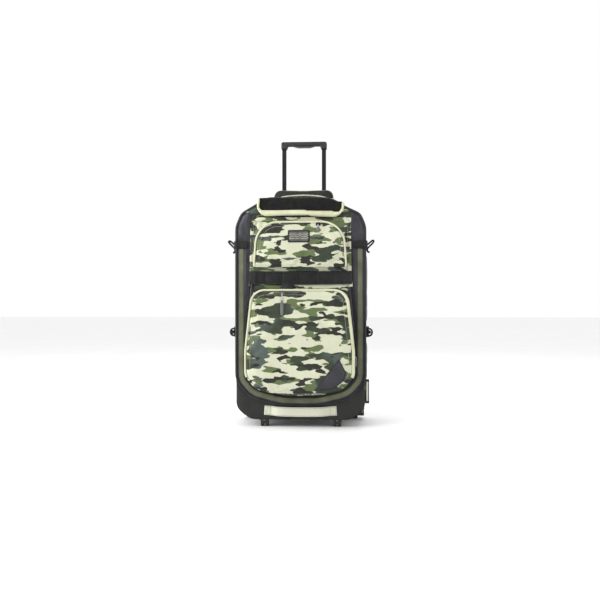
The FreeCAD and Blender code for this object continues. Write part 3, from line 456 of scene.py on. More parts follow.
# ---------------------------------------------------------------- materials
class Graph:
    """A material's node tree, built by short calls that return sockets."""

    def __init__(self, name):
        self.material = bpy.data.materials.new(name)
        self.material.use_nodes = True
        self.tree = self.material.node_tree
        self.surface = self.tree.nodes["Principled BSDF"]
        self.place = self.tree.nodes.new("ShaderNodeTexCoord").outputs["Object"]

    def node(self, kind, inputs, output=0, **settings):
        made = self.tree.nodes.new(kind)
        for key, value in settings.items():
            setattr(made, key, value)
        for key, value in inputs.items():
            if isinstance(value, bpy.types.NodeSocket):
                self.tree.links.new(value, made.inputs[key])
            else:
                made.inputs[key].default_value = value
        return made.outputs[output]

    def math(self, operation, a, b=0.0):
        return self.node("ShaderNodeMath", {0: a, 1: b}, operation=operation)

    def scaled(self, factors, place=None):
        inputs = {0: place or self.place, 1: factors}
        return self.node("ShaderNodeVectorMath", inputs, operation="MULTIPLY")

    def noise(self, scale, detail=2.0, roughness=0.5, place=None, distortion=0.0):
        inputs = {"Vector": place or self.place, "Scale": scale, "Detail": detail}
        inputs.update({"Roughness": roughness, "Distortion": distortion})
        return self.node("ShaderNodeTexNoise", inputs)

    def between(self, value, low, high, to_low=0.0, to_high=1.0):
        inputs = {"Value": value, "From Min": low, "From Max": high}
        inputs.update({"To Min": to_low, "To Max": to_high})
        return self.node("ShaderNodeMapRange", inputs)

    def blend(self, share, a, b):
        return self.node(
            "ShaderNodeMix", {0: share, 6: colour(a), 7: colour(b)}, output=2, data_type="RGBA"
        )

    def wave(self, direction, length):
        """A sine across a direction, from -1 to 1, with the given wavelength."""
        inputs = {0: self.place, 1: [k * 2 * math.pi / length for k in direction]}
        along = self.node("ShaderNodeVectorMath", inputs, output=1, operation="DOT_PRODUCT")
        return self.math("SINE", along)

    def weave(self, thread):
        """A plain weave of threads of the given width, over and under each other."""
        warp, weft = (self.wave(way, thread * 2) for way in ((1, 1, 0.35), (0.3, -0.3, 1)))
        return self.math("MULTIPLY", warp, weft)

    def finish(self, base, roughness, heights=(), **values):
        """Sets the surface; heights are (height, depth in metres) pairs for the relief."""
        normal = None
        for height, depth in heights:
            inputs = {"Height": height, "Distance": depth, "Strength": 1.0}
            if normal is not None:
                inputs["Normal"] = normal
            normal = self.node("ShaderNodeBump", inputs)
        inputs = {"Base Color": colour(base), "Roughness": roughness, **values}
        if normal is not None:
            inputs["Normal"] = normal
        for key, value in inputs.items():
            if isinstance(value, bpy.types.NodeSocket):
                self.tree.links.new(value, self.surface.inputs[key])
            else:
                self.surface.inputs[key].default_value = value
        return self.material


def colour(value):
    """A socket as it is, or red, green and blue from 0 to 255 as the eye sees them."""
    if isinstance(value, bpy.types.NodeSocket):
        return value
    linear = [((c / 255 + 0.055) / 1.055) ** 2.4 if c > 10 else c / 255 / 12.92 for c in value]
    return (*linear, 1.0)


def camouflage():
    """Coated fabric printed in cream, greens and near-black, in patches that lie flat, with painted
    highlights: slate in the dark green patches, and a faint grey painted sheen over all.
    """
    g = Graph("camo_print_and_painted_highlights")
    stretched = g.scaled((1.0, 1.0, 2.7))
    wander = g.node("ShaderNodeTexNoise", {"Vector": stretched, "Scale": 30.0, "Detail": 2.0}, output=1)
    sway = g.node("ShaderNodeVectorMath", {0: wander, 1: (0.034, 0.034, 0.030)}, operation="MULTIPLY")
    shifted = g.node("ShaderNodeVectorMath", {0: stretched, 1: sway}, operation="ADD")

    def patches(seed, scale, share, detail=1.0):
        place = {0: shifted, 1: (seed, seed * 0.37, seed * 0.71)}
        moved = g.node("ShaderNodeVectorMath", place, operation="ADD")
        value = g.noise(scale, detail, 0.4, moved)
        return g.between(value, share, share + 0.008)

    base = g.blend(g.noise(9, 3), (176, 178, 154), (196, 198, 174))
    # painted highlight: the dark green patches turn slate in places, standing for gloss on the coated
    # fabric
    dark_green_and_painted_highlight = g.blend(g.between(g.noise(11, 1), 0.46, 0.62), (36, 48, 30), (66, 76, 72))
    base = g.blend(patches(3.1, 15, 0.555), base, (82, 96, 58))
    base = g.blend(patches(7.7, 13, 0.545), base, dark_green_and_painted_highlight)
    base = g.blend(patches(19.3, 17, 0.575, 1.6), base, (24, 26, 18))
    # painted sheen: a faint grey mottling, up to 7 per cent, stands for the coated fabric's gloss
    base = g.blend(g.between(g.noise(60, 2), 0.35, 0.75, 0.0, 0.07), base, (110, 112, 90))
    roughness = g.between(g.noise(30, 3), 0.3, 0.7, 0.36, 0.55)
    relief = [(g.weave(0.9 * MM), 0.10 * MM), (g.noise(140, 3), 0.5 * MM)]
    return g.finish(base, roughness, relief, **{"Specular IOR Level": 0.3, "Coat Weight": 0.06})


def woven(name, base, light, thread, roughness=(0.6, 0.85), depth=0.16, sheen=0.15, coat=0.0):
    """Woven cloth: threads in millimetres, uneven dye, and lighter crowns on the threads."""
    g = Graph(name)
    weave = g.weave(thread * MM)
    tone = g.blend(g.between(g.noise(22, 4), 0.3, 0.75), base, light)
    tone = g.blend(g.between(weave, 0.2, 1.0, 0.0, 0.45), tone, light)
    rough = g.between(g.noise(70, 3), 0.3, 0.7, *roughness)
    relief = [(weave, depth * MM), (g.noise(120, 3), 0.4 * MM)]
    extra = {"Sheen Weight": sheen, "Coat Weight": coat, "Coat Roughness": 0.3}
    extra["Specular IOR Level"] = 0.3
    return g.finish(tone, rough, relief, **extra)


def webbing(name, base, light, along=(1, 0, 0), across=(0, 0, 1)):
    """Ribbed webbing: herringbone ribs along it and fine picks across."""
    g = Graph(name)
    ribs = g.wave(across, 3.6 * MM)
    picks = g.wave([a + 0.5 * b for a, b in zip(along, across)], 1.8 * MM)
    mixed = g.math("ADD", ribs, g.math("MULTIPLY", picks, 0.6))
    tone = g.blend(g.between(mixed, -1.2, 1.4), base, light)
    tone = g.blend(g.between(g.noise(18, 4), 0.4, 0.8, 0, 0.5), tone, light)
    rough = g.between(g.noise(60, 3), 0.3, 0.7, 0.55, 0.8)
    extra = {"Sheen Weight": 0.05, "Specular IOR Level": 0.3}
    return g.finish(tone, rough, [(mixed, 0.25 * MM)], **extra)


def moulded(name, base, light, roughness=(0.35, 0.55), grain=900, depth=0.06, **extra):
    """Moulded plastic with a fine spark-eroded grain and scuffed, paler patches."""
    g = Graph(name)
    fine = g.noise(grain, 4, 0.65)
    tone = g.blend(g.between(g.noise(35, 5, 0.6), 0.5, 0.85), base, light)
    rough = g.between(g.noise(90, 4), 0.3, 0.7, *roughness)
    return g.finish(tone, rough, [(fine, depth * MM), (g.noise(60, 2), 0.15 * MM)], **extra)


def metal(name, base, light, roughness, grain=(1, 1, 40), **extra):
    """Drawn or turned metal: long fine scratches, with a little wear."""
    g = Graph(name)
    drawn = g.noise(300, 4, 0.6, g.scaled(grain))
    tone = g.blend(g.between(g.noise(40, 5), 0.45, 0.8), base, light)
    rough = g.between(drawn, 0.3, 0.7, *roughness)
    return g.finish(tone, rough, [(drawn, 0.02 * MM)], Metallic=1.0, **extra)


CAMO = camouflage()
COATED = woven(
    "coated_black", (30, 30, 35), (46, 46, 54), thread=0.7,
    roughness=(0.30, 0.46), depth=0.08, sheen=0.0, coat=0.22,
)
BALLISTIC = woven(
    "ballistic_black", (24, 25, 26), (42, 43, 44), thread=1.2,
    roughness=(0.55, 0.75), depth=0.2, sheen=0.03,
)
# painted shade: the vent mesh is near-black, far darker than the other black cloths, standing for the
# shade in its holes and in the pouch behind it
VENT_MESH_PAINTED_SHADE = woven(
    "vent_mesh", (2, 2, 1), (6, 6, 5), thread=1.6,
    roughness=(0.7, 0.9), depth=0.5, sheen=0.0,
)
BOOT = woven(
    "boot_black", (20, 20, 19), (33, 33, 31), thread=0.9,
    roughness=(0.42, 0.6), depth=0.14, sheen=0.0, coat=0.08,
)
LINING = woven(
    "lining_grey", (86, 88, 86), (110, 112, 108), thread=0.6,
    roughness=(0.5, 0.65), depth=0.08,
)
OLIVE = woven(
    "olive_tape", (80, 83, 62), (110, 113, 90), thread=0.9,
    roughness=(0.5, 0.7), depth=0.2, sheen=0.05,
)
CREAM = woven(
    "cream_trim", (182, 183, 150), (202, 203, 174), thread=0.9,
    roughness=(0.55, 0.75), depth=0.2, sheen=0.05,
)
PIPING_BLACK = woven(
    "piping_black", (26, 26, 28), (46, 46, 50), thread=0.8,
    roughness=(0.4, 0.6), depth=0.12, sheen=0.0,
)
ZIP_TAPE = woven(
    "zip_tape", (24, 24, 24), (40, 40, 40), thread=0.7,
    roughness=(0.6, 0.8), depth=0.2, sheen=0.0,
)
ZIP_TEETH = moulded("zip_teeth", (20, 20, 21), (50, 50, 52), roughness=(0.25, 0.4))
WEBBING = webbing("black_webbing", (13, 13, 13), (32, 32, 32))
OLIVE_WEBBING = webbing("olive_webbing", (52, 55, 38), (82, 85, 60))
CREAM_WEBBING = webbing("cream_webbing", (188, 189, 168), (212, 212, 194))
LABEL = woven(
    "label_weave", (74, 74, 76), (108, 108, 108), thread=0.6,
    roughness=(0.5, 0.7), depth=0.15, sheen=0.05,
)
THREAD_PALE = woven("thread_pale", (196, 195, 160), (220, 219, 190), thread=0.3)
THREAD_DARK = woven("thread_dark", (60, 60, 60), (90, 90, 90), thread=0.3)
PLASTIC = moulded("black_plastic", (22, 22, 23), (40, 40, 42))
GRIP = moulded("grip_plastic", (22, 22, 23), (38, 38, 40), roughness=(0.5, 0.7), grain=1400, depth=0.12)
BUTTON = moulded("button_plastic", (48, 50, 52), (76, 78, 80), roughness=(0.3, 0.45))
HUB = moulded("hub_plastic", (84, 86, 88), (120, 122, 124), roughness=(0.35, 0.5))
TYRE = moulded("tyre_rubber", (20, 20, 20), (56, 54, 50), roughness=(0.7, 0.9), grain=500, depth=0.2)
SHEET = moulded(
    "stiffener_sheet", (60, 60, 60), (84, 84, 84),
    roughness=(0.5, 0.7), grain=600, depth=0.15,
)
TUBE = moulded(
    "black_tube", (20, 20, 22), (36, 36, 39),
    roughness=(0.28, 0.4), grain=160, depth=0.03, Metallic=0.5,
)
STEEL = metal("plated_steel", (170, 172, 175), (200, 202, 205), roughness=(0.2, 0.38), grain=(40, 1, 1))
ZIP_METAL = metal("zip_metal", (38, 38, 40), (130, 130, 132), roughness=(0.25, 0.45))
PULL_GREY = woven("pull_grey", (150, 152, 150), (190, 192, 190), thread=0.6)

FINISHES = {
    PLASTIC: """trolley_bezel trolley_bracket wheel_housing_left wheel_housing_right front_feet
        skid_rails buckle_sockets buckle_plug_left buckle_plug_right strap_adjusters lock_plugs""",
    GRIP: "grip",
    BUTTON: "grip_button",
    HUB: "wheel_hub_left wheel_hub_right",
    TYRE: "wheel_tyre_left wheel_tyre_right",
    TUBE: "inner_tubes mid_tubes outer_tubes",
    STEEL: "wheel_axles wheel_bearings_left wheel_bearings_right release_rods lock_pins screws",
    ZIP_METAL: "lid_zip_slider lower_zip_slider upper_zip_slider",
    SHEET: "stiffener_boards",
}
for material, names in FINISHES.items():
    for name in names.split():
        node_mesh = NODES[name].data
        node_mesh.materials.clear()
        node_mesh.materials.append(material)


# ---------------------------------------------------------------- outlines of the frame
SEAM, OPENING = (resample(loop, 4 * MM, closed=True) for loop in outlines("front_frame")[:2])
LID = resample(outlines("lid_panel")[0], 4 * MM, closed=True)
LOWER = resample(outlines("lower_pocket_wall")[0], 4 * MM, closed=True)
LOWER_FLAP = resample(outlines("lower_flap")[0], 4 * MM, closed=True)
UPPER = resample(outlines("upper_pocket_wall")[0], 3 * MM, closed=True)
UPPER_FLAP = resample(outlines("upper_flap")[0], 3 * MM, closed=True)


def shell_right():
    """The right half of the whole shell: the boot's underside and side, then the front's edge."""
    boot = outlines("base_boot")[0]
    boot = boot[: int(np.argmax(boot[:, 1] + boot[:, 0])) + 1]
    upper = right_half(SEAM)
    upper = upper[upper[:, 1] > SEAM_FROM]
    return np.vstack([boot, upper])


SHELL = shell_right()


# ---------------------------------------------------------------- shell
def strap_pinch(z):
    """How far the straps press the side walls in, from 0 to 1."""
    return np.maximum(near(z, UPPER_STRAP, 24 * MM), near(z, LOWER_STRAP, 26 * MM))


def gusset(name, path, bulge, replaces, holes=None, cloth=None):
    """A wall of the shell from the front seam to the back seam, over one stretch of its outline."""
    path = resample(path, 6 * MM)
    t = tangents(path)
    outward = np.column_stack([t[:, 1], -t[:, 0]])
    depths = np.linspace(FRONT, BACK, 41)
    share = (depths - FRONT) / (BACK - FRONT)
    arch = np.sin(math.pi * share) ** 0.6
    base = np.repeat(path, len(depths), axis=0)
    y = np.tile(depths, len(path))
    flat = np.column_stack([base[:, 0], y, base[:, 1]])
    along = lengths_along(path)
    sewn_ends = smooth(np.minimum(along, along[-1] - along) / (18 * MM))
    soft = bulge(flat) * np.tile(arch, len(path)) * np.repeat(sewn_ends, len(depths))
    points = sag(flat + np.repeat(in_front(outward, 0), len(depths), axis=0) * soft[:, None])
    faces = grid_faces(len(path), len(depths))
    if holes is not None:
        middle = points[np.array(faces)].mean(axis=1)
        faces = [f for f, gone in zip(faces, holes(middle)) if not gone]
    piece = make(name, points, faces, "bag", cloth or COATED, "coated_black_fabric", replaces, LINING)
    held = (np.tile(arch, len(path)) < 0.2) | (strap_pinch(flat[:, 2]) > 0.4)
    ends = np.zeros((len(path), len(depths)), bool)
    ends[:2] = ends[-2:] = True
    if holes is None:
        relax(piece, held | ends.ravel(), pressure=0.6, slack=0.012, cap=4 * MM)
    return subdivide(thicken(piece, 2.5 * MM))


def sag(points):
    """Lets the soft top hang lower towards the front, and lower still on the right."""
    points = np.array(points, float)
    forward = smooth((85 * MM - points[:, 1]) / (130 * MM))
    high = smooth((points[:, 2] - 0.665) / (75 * MM))
    points[:, 2] -= forward * high * (9 + 9 * smooth((points[:, 0] - 0.05) / 0.09)) * MM
    return points


def side_bulge(points):
    """How far a side wall stands out: soft and creased, pressed in at the straps."""
    crumple = creases(points, 60 * MM, 4.0, (1, 0.8, 1.6))
    open_to_puff = 1 - strap_pinch(points[:, 2])
    return open_to_puff * (4.5 + 1.8 * ripples(points, 90 * MM, 2.0) + 1.6 * (crumple - 0.7)) * MM


def top_bulge(points):
    """How far the top stands out: less than the sides, and flat under the bezel."""
    crumple = creases(points, 55 * MM, 9.0, (1.4, 0.8, 1))
    under_bezel = (points[:, 1] > 95 * MM) & (np.abs(points[:, 0]) < 110 * MM)
    pressed = np.where(under_bezel, 0, 1) * (1 - near(points[:, 2], UPPER_STRAP, 24 * MM))
    return pressed * (2.4 + 1.6 * ripples(points, 80 * MM, 5.0) + 1.4 * (crumple - 0.7)) * MM


def boot_bulge(points):
    """How far the boot stands out, from nothing at its floor."""
    rise = smooth((points[:, 2] - FLOOR_OF_BAG) / (60 * MM))
    return rise * (1.5 + 1.2 * ripples(points, 70 * MM, 8.0)) * MM


def tube_holes(middle):
    """The faces of the top panel that the trolley's tubes pass through, under the bezel."""
    low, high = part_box("outer_tubes")
    reach = 3 * MM
    inside_y = (middle[:, 1] > low.y - reach) & (middle[:, 1] < high.y + reach)
    beside = np.abs(np.abs(middle[:, 0]) - (high.x - 10 * MM)) < 10 * MM + reach
    return inside_y & beside & (middle[:, 2] > TOP - 20 * MM)


def wheel_holes(middle):
    """The corners of the boot that the wheel housings take up."""
    low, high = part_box("wheel_housing_right")
    return (np.abs(middle[:, 0]) > low.x) & (middle[:, 1] > low.y) & (middle[:, 2] < high.z)


def shell():
    """The whole shell: top, sides, boot, wheel wells and back, with the seams between them."""
    top_path = above(SHELL, YOKE)
    top_path = np.vstack([top_path, (top_path * [-1, 1])[::-1][1:]])
    gusset("top_gusset", top_path, top_bulge, ["top_panel"], holes=tube_holes)
    for side, sign in SIDES.items():
        ends = [(sign * SIDE, BOOT_TOP), (sign * SIDE, YOKE)]
        wall = np.array(ends if sign > 0 else ends[::-1])
        gusset(f"side_gusset_{side}", wall, side_bulge, [f"side_panel_{side}"])
    low_path = both_halves(below(SHELL, BOOT_TOP))
    gusset("boot_trough", low_path, boot_bulge, ["base_boot"], wheel_holes, BOOT)
    boot_front()
    wheel_well_linings()
    back_wall()
    y = np.linspace(FRONT + 8 * MM, BACK - 8 * MM, 40)
    arch = np.sin(math.pi * (y - FRONT) / (BACK - FRONT)) ** 0.6
    rows = []
    for sign in SIDES.values():
        for z in (BOOT_TOP + 3 * MM, BOOT_TOP - 3 * MM, YOKE + 3 * MM, YOKE - 3 * MM):
            x = sign * (SIDE + 0.4 * MM + 3.2 * MM * arch)
            rows.append(np.column_stack([x, y, np.full(len(y), z)]))
    stitches("gusset_stitching", rows, "bag", THREAD_DARK, up=(0, 0, 1))


def boot_front():
    """The boot's front, a lens between the underside's outline and the front seam."""
    seam = right_half(SEAM)
    seam = seam[seam[:, 1] < LENS_TOP]
    rows, columns = 15, 121
    halves = (below(SHELL, seam[-1, 1]), seam)
    lower, upper = (divided(both_halves(half), columns - 1) for half in halves)
    share = np.linspace(0, 1, rows)
    flat = (lower * (1 - share[:, None, None]) + upper * share[:, None, None]).reshape(-1, 2)
    middle = np.repeat(np.sin(math.pi * share), columns)
    points = in_front(flat, FRONT)
    bulge = middle * (2.6 + 1.4 * ripples(points, 60 * MM, 11.0) + 1.2 * creases(points, 45 * MM, 3.0))
    behind_handle = 1 - 0.7 * near(points[:, 0], 0, 135 * MM)
    points[:, 1] -= bulge * behind_handle * MM
    faces = grid_faces(rows, columns)
    make(
        "boot_front", points, faces, "bag", BOOT, slot="coated_black_fabric", replaces=["base_boot"],
        lining=LINING, thickness=2 * MM,
    )


def wheel_well_linings():
    """The lining over each wheel housing inside the bag: a rounded step in each rear corner."""
    low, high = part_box("wheel_housing_right")
    turn = np.linspace(0, math.pi / 2, 9)
    arc = np.column_stack(
        [low.x + 5 * MM - 9 * MM * np.sin(turn), high.z - 6 * MM + 9 * MM * np.cos(turn)]
    )
    corner = np.array([SIDE - 1 * MM, FLOOR_OF_BAG + 2 * MM])
    path = resample(np.vstack([[corner[0], high.z + 3 * MM], arc, [arc[-1, 0], corner[1]]]), 5 * MM)
    rows = [(low.y - 4 * MM, k) for k in np.linspace(0.02, 0.97, 8)]
    rows += [(y, 1.0) for y in np.linspace(low.y - 1 * MM, BACK - 4 * MM, 12)]
    right = np.vstack([in_front(corner + (path - corner) * k, y) for y, k in rows])
    right += (ripples(right, 40 * MM, 15.0) * 1.2 * MM)[:, None] * np.array([0, 0.3, 0.7])
    for side, sign in SIDES.items():
        faces = grid_faces(len(rows), len(path), flipped=sign < 0)
        points = right * [sign, 1, 1]
        make(f"wheel_well_lining_{side}", points, faces, "bag", LINING, thickness=1.5 * MM)


def back_wall():
    """The padded back, sewn down beside the skid rails and across in three channels."""
    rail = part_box("skid_rails")
    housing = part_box("wheel_housing_right")
    rail_x = 120 * MM
    channel_heights = (0.24, 0.4, 0.56)
    reach = 110 * MM
    y = BACK - 0.4 * MM

    def height(x, z, distance):
        points = np.column_stack([x, 0 * x, z])
        beside_rails = smooth((np.abs(np.abs(x) - rail_x) - 9 * MM) / (12 * MM))
        beside_rails = np.where(z > rail[1].z + 12 * MM, 1, beside_rails)
        channels = 1 - sum(near(z, k, 7 * MM) for k in channel_heights) * (np.abs(x) < reach)
        soft = 5.4 + 1.2 * ripples(points, 70 * MM, 6.0)
        return smooth(distance / (22 * MM)) * beside_rails * channels * soft * MM

    named = {"facing": 1, "slot": "black_fabric", "replaces": ["back_panel"], "thickness": 3 * MM}
    upper = above(SHELL, housing[1].z)
    upper = np.vstack([[0, upper[0, 1]], upper])
    piece, _ = panel("back_padding", upper, y, height, "bag", BALLISTIC, lining=LINING, **named)
    rows = [[(-reach, BACK, z), (reach, BACK, z)] for z in channel_heights]
    stitches("back_stitching", rows, "bag", THREAD_DARK, up=(0, 1, 0))
    x, z = housing[0].x, housing[1].z
    low = np.array([(0, FLOOR_OF_BAG), (x, FLOOR_OF_BAG), (x, z), (0, z)])
    panel("back_foot_panel", low, y, domed(0, 1.5 * MM, 15 * MM), "bag", BALLISTIC, **named)
    edge = in_front(resample(both_halves(upper[1:]), 5 * MM), BACK - 1 * MM)
    sweep("back_edge_binding", edge, round_profile(3, flat=0.8), "bag", PIPING_BLACK, up=(0, 1, 0))


def front_frame():
    """The black wings between the lid's zip and the outer seam, with their trims."""
    inner, outer = (divided(loop, len(SEAM), closed=True) for loop in (OPENING, SEAM))
    rings = 15
    share = np.linspace(0, 1, rings)[:, None, None]
    flat = (inner * (1 - share) + outer * share).reshape(-1, 2)
    points = in_front(flat, FRONT)
    x, z = flat.T
    from_seam = edge_distance(flat, SEAM)
    from_lid = edge_distance(flat, OPENING)
    # the wings puff beside the olive strip, and up to the seam over the strap, where the strip ends
    on_wing = smooth((from_seam - 22 * MM) / (14 * MM)) * smooth((from_lid - 5 * MM) / (12 * MM))
    shoulder = smooth((z - UPPER_STRAP - 16 * MM) / (24 * MM))
    shoulder = shoulder * smooth((from_seam - 3 * MM) / (12 * MM))
    clear_of_strap = 1 - near(z, UPPER_STRAP, 24 * MM)
    clear_of_vent = np.where(z > 0.6, smooth((np.abs(x) - 0.155) / (12 * MM)), 1)
    crumple = creases(points, 40 * MM, 2.0, (1.8, 1, 0.7))
    soft = (4 + 2.2 * ripples(points, 50 * MM, 1.0) + 2.0 * crumple) * MM
    points[:, 1] -= np.maximum(on_wing, shoulder) * clear_of_strap * clear_of_vent * soft
    faces = grid_faces(rings, len(SEAM), closed=True, flipped=True)
    make(
        "front_wings", sag(points), faces, "bag", COATED, slot="coated_black_fabric",
        replaces=["front_frame"], lining=LINING, thickness=2 * MM,
    )
    sweep(
        "front_edge_piping", sag(in_front(SEAM, FRONT)), round_profile(4), "bag", PIPING_BLACK,
        closed=True, slot="black_piping", replaces=["edge_piping"],
    )

    def beside_seam(inset):
        line = offset(SEAM, -inset)
        end = np.argmin(np.abs(line[: len(line) // 2, 1] - UPPER_STRAP))
        return both_halves(line[: end + 1])

    strip = resample(in_front(beside_seam(16 * MM), FRONT), 5 * MM)
    sweep(
        "olive_strip_tape", strip, tape_profile(16, 1.2, crown=0.7), "bag", OLIVE,
        slot="olive_tape", replaces=["olive_strip"],
    )
    rows = [in_front(beside_seam(inset), FRONT - 1.3 * MM) for inset in (9.6 * MM, 22.4 * MM)]
    stitches("strip_stitching", rows, "bag", THREAD_DARK)
    yoke()


def yoke():
    """The printed yoke behind the vent's lip, and its corners beside the lid."""
    right = [(0, 0.6795), (0.165, 0.6795), (0.178, 0.691), (0.171, 0.699), (0.150, 0.7125), (0, 0.7125)]
    height = domed(1.6 * MM, 2.4 * MM, 12 * MM)
    named = {"slot": "camo_fabric", "thickness": 1.2 * MM}
    piece, _ = panel("front_yoke", np.array(right), FRONT, height, "bag", CAMO, **named)
    set_coordinates(piece.data, sag(coordinates(piece.data)))
    corner = offset(LID, 9 * MM)
    corner = corner[(corner[:, 1] > 0.655) & (corner[:, 0] > 0.135)]
    profile = tape_profile(14, 1.6, crown=0.8)
    for side, sign in SIDES.items():
        line = in_front((corner * [sign, 1])[::sign], FRONT - 0.6 * MM)
        sweep(f"yoke_corner_{side}", line, profile, "bag", CAMO, slot="camo_fabric")


# ---------------------------------------------------------------- vent
def vent():
    """The mesh pouch at the top front and its padded lip."""
    low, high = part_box("vent_panel")
    overlap = 1.012  # the outermost columns tuck behind the wings
    across = np.concatenate([[-overlap], np.linspace(-1, 1, 61), [overlap]])
    rows = np.linspace(0, 1, 25)
    rise = 0.7  # the share of the rows that climb the pouch; the rest go over to the shell's top
    rim = sag(in_front(both_halves(right_half(SEAM)), FRONT))
    rim = rim[rim[:, 2] > 0.69]
    rim = rim[np.argsort(rim[:, 0])]
    points = []
    for share in rows:
        for k in across:
            x = k * (high.x + 1 * MM)
            shell_top = np.interp(x, rim[:, 0], rim[:, 2]) + 1.5 * MM
            peak = high.z - 3 * MM - 13 * MM * float(smooth((x - 75 * MM) / (50 * MM)))
            if share < rise:
                up = share / rise
                belly = math.sin(math.pi * up * 0.85) * max(0, math.cos(k * math.pi / 2)) ** 0.5
                y = low.y + 1.5 * MM - 4 * MM * belly
                z = low.z - 4 * MM + (peak + 1 * MM - low.z) * up
            else:
                over = (share - rise) / (1 - rise)
                y = low.y + 1.5 * MM + 38 * MM * over**1.5
                z = peak - 3 * MM + 4 * MM * math.sin(math.pi / 2 * min(1, over * 2.5))
                z += (shell_top - z) * float(smooth(over))
            if abs(k) > 1:
                y, z = max(y, FRONT + 1 * MM), min(z, shell_top)
            points.append((x, y, z))
    points = np.array(points)
    points[:, 1] += 0.9 * MM * ripples(points, 50 * MM, 3.0)
    faces = grid_faces(len(rows), len(across))
    make(
        "vent_mesh", points, faces, "bag", VENT_MESH_PAINTED_SHADE, slot="black_fabric", replaces=["vent_panel"],
        thickness=1.5 * MM,
    )
    vent_lip(high.z - 4 * MM)


def vent_lip(top):
    """The vent's pale padded lip, which turns up at both ends to the given height."""
    low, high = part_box("vent_lip")
    y = (low.y + high.y) / 2
    reach = high.x - 17 * MM
    bottom = low.z + 11.5 * MM
    path = curve_through(
        [
            (-reach + 1 * MM, top),
            (-reach, top - 22 * MM),
            (-reach + 4 * MM, bottom + 14 * MM),
            (-reach + 20 * MM, bottom + 3.5 * MM),
            (-70 * MM, bottom + 2 * MM),
            (0, bottom + 1 * MM),
            (60 * MM, bottom - 2.5 * MM),
            (reach - 24 * MM, bottom - 4 * MM),
            (reach - 6 * MM, bottom + 5 * MM),
            (reach, top - 30 * MM),
            (reach - 1 * MM, top - 14 * MM),
        ],
        4 * MM,
    )
    along = np.linspace(-1, 1, len(path))
    broad = 0.5 + 0.5 * smooth((0.78 - np.abs(along)) / 0.16)
    piece = sweep(
        "vent_padded_lip", in_front(path, y), round_profile(11, flat=0.5, sides=16), "bag", CREAM,
        size=np.column_stack([broad, 0.8 + 0.2 * broad]), slot="cream_trim", replaces=["vent_lip"],
    )
    puff(piece, cap=3 * MM)
    seam = path + np.column_stack([0 * broad, 6.5 * MM * broad])
    row = settle(in_front(seam, y)[np.abs(along) < 0.7], piece, 0.2 * MM)
    stitches("vent_lip_stitching", [row], "bag", THREAD_PALE, pitch=3.5 * MM, length=2.4 * MM)


# ---------------------------------------------------------------- lid and pockets
def skin(name, right, y, soft, body, node, seed, cap=5 * MM, flatten=None, hem=0.0, wall=1.6 * MM):
    """A printed, lined skin that cloth simulation puffs between its sewn edges.

    A hem lifts the border by that much, so that it can lie over a zip.
    """

    def height(x, z, distance):
        points = np.column_stack([x, 0 * x, z])
        crumple = creases(points, 70 * MM, seed, (0.9, 1, 1.7))
        swell = soft * (1 + 0.35 * ripples(points, 110 * MM, seed + 2)) + 1.4 * MM * (crumple - 0.8)
        raised = smooth(distance / (34 * MM)) ** 0.8 * swell
        border = hem * (0.4 + 0.6 * smooth(distance / (3.2 * MM)))
        return border + raised * (1 if flatten is None else 1 - flatten(x, z))

    piece, distance = panel(
        name, right, y, height, body, CAMO, slot="camo_fabric", replaces=[node], lining=LINING
    )
    co = coordinates(piece.data)
    held = distance < 4 * MM
    if flatten is not None:
        held |= flatten(co[:, 0], co[:, 2]) > 0.3
    relax(piece, held, pressure=1.0, slack=0.02, cap=cap)
    return subdivide(thicken(piece, wall))


def zip_half(name, path, width, body, node, towards, y, closed=False):
    """Half a zip: a tape and its row of teeth on the tape's edge at the seam."""
    sweep(
        f"{name}_tape", in_front(path, y), tape_profile(width, 0.7), body, ZIP_TAPE, closed=closed,
        slot="zip_tape", replaces=[node],
    )
    if closed:
        path = open_loop(path, HINGE_GAP + 4 * MM, HINGE_LINE)
    even = resample(path, 1.3 * MM)
    t = tangents(even)
    even = even + np.column_stack([t[:, 1], -t[:, 0]]) * towards
    beat = np.where(np.arange(len(even)) % 2, 1.0, 0.62)
    size = np.column_stack([beat, beat])
    line = in_front(even, y - 0.9 * MM)
    sweep(f"{name}_teeth", line, round_profile(0.95, flat=0.8, sides=6), body, ZIP_TEETH, size=size)


def open_loop(loop, half_gap, below_z):
    """A closed loop without its stretch at the bottom middle."""
    gone = (np.abs(loop[:, 0]) < half_gap) & (loop[:, 1] < below_z)
    first = int(np.argmax(~gone))
    last = len(loop) - int(np.argmax(~gone[::-1]))
    return loop[first:last]


def split_sides(line):
    """The left and right parts of a symmetric line, each in order of height."""
    parts = [line[line[:, 0] * sign > 0] for sign in SIDES.values()]
    return [part[np.argsort(part[:, 1])] for part in parts]


def quilted(x, z, distance):
    """The relief of a lining: slack between a sewn border and a few cross seams."""
    seams = sum(near(z, k, 4 * MM) for k in (0.27, 0.41, 0.55))
    points = np.column_stack([x, 0 * x, z])
    slack = 1.6 + 0.9 * ripples(points, 60 * MM, 41.0)
    return 0.2 * MM + smooth(distance / (16 * MM)) * np.maximum(0, 1 - 0.8 * seams) * slack * MM


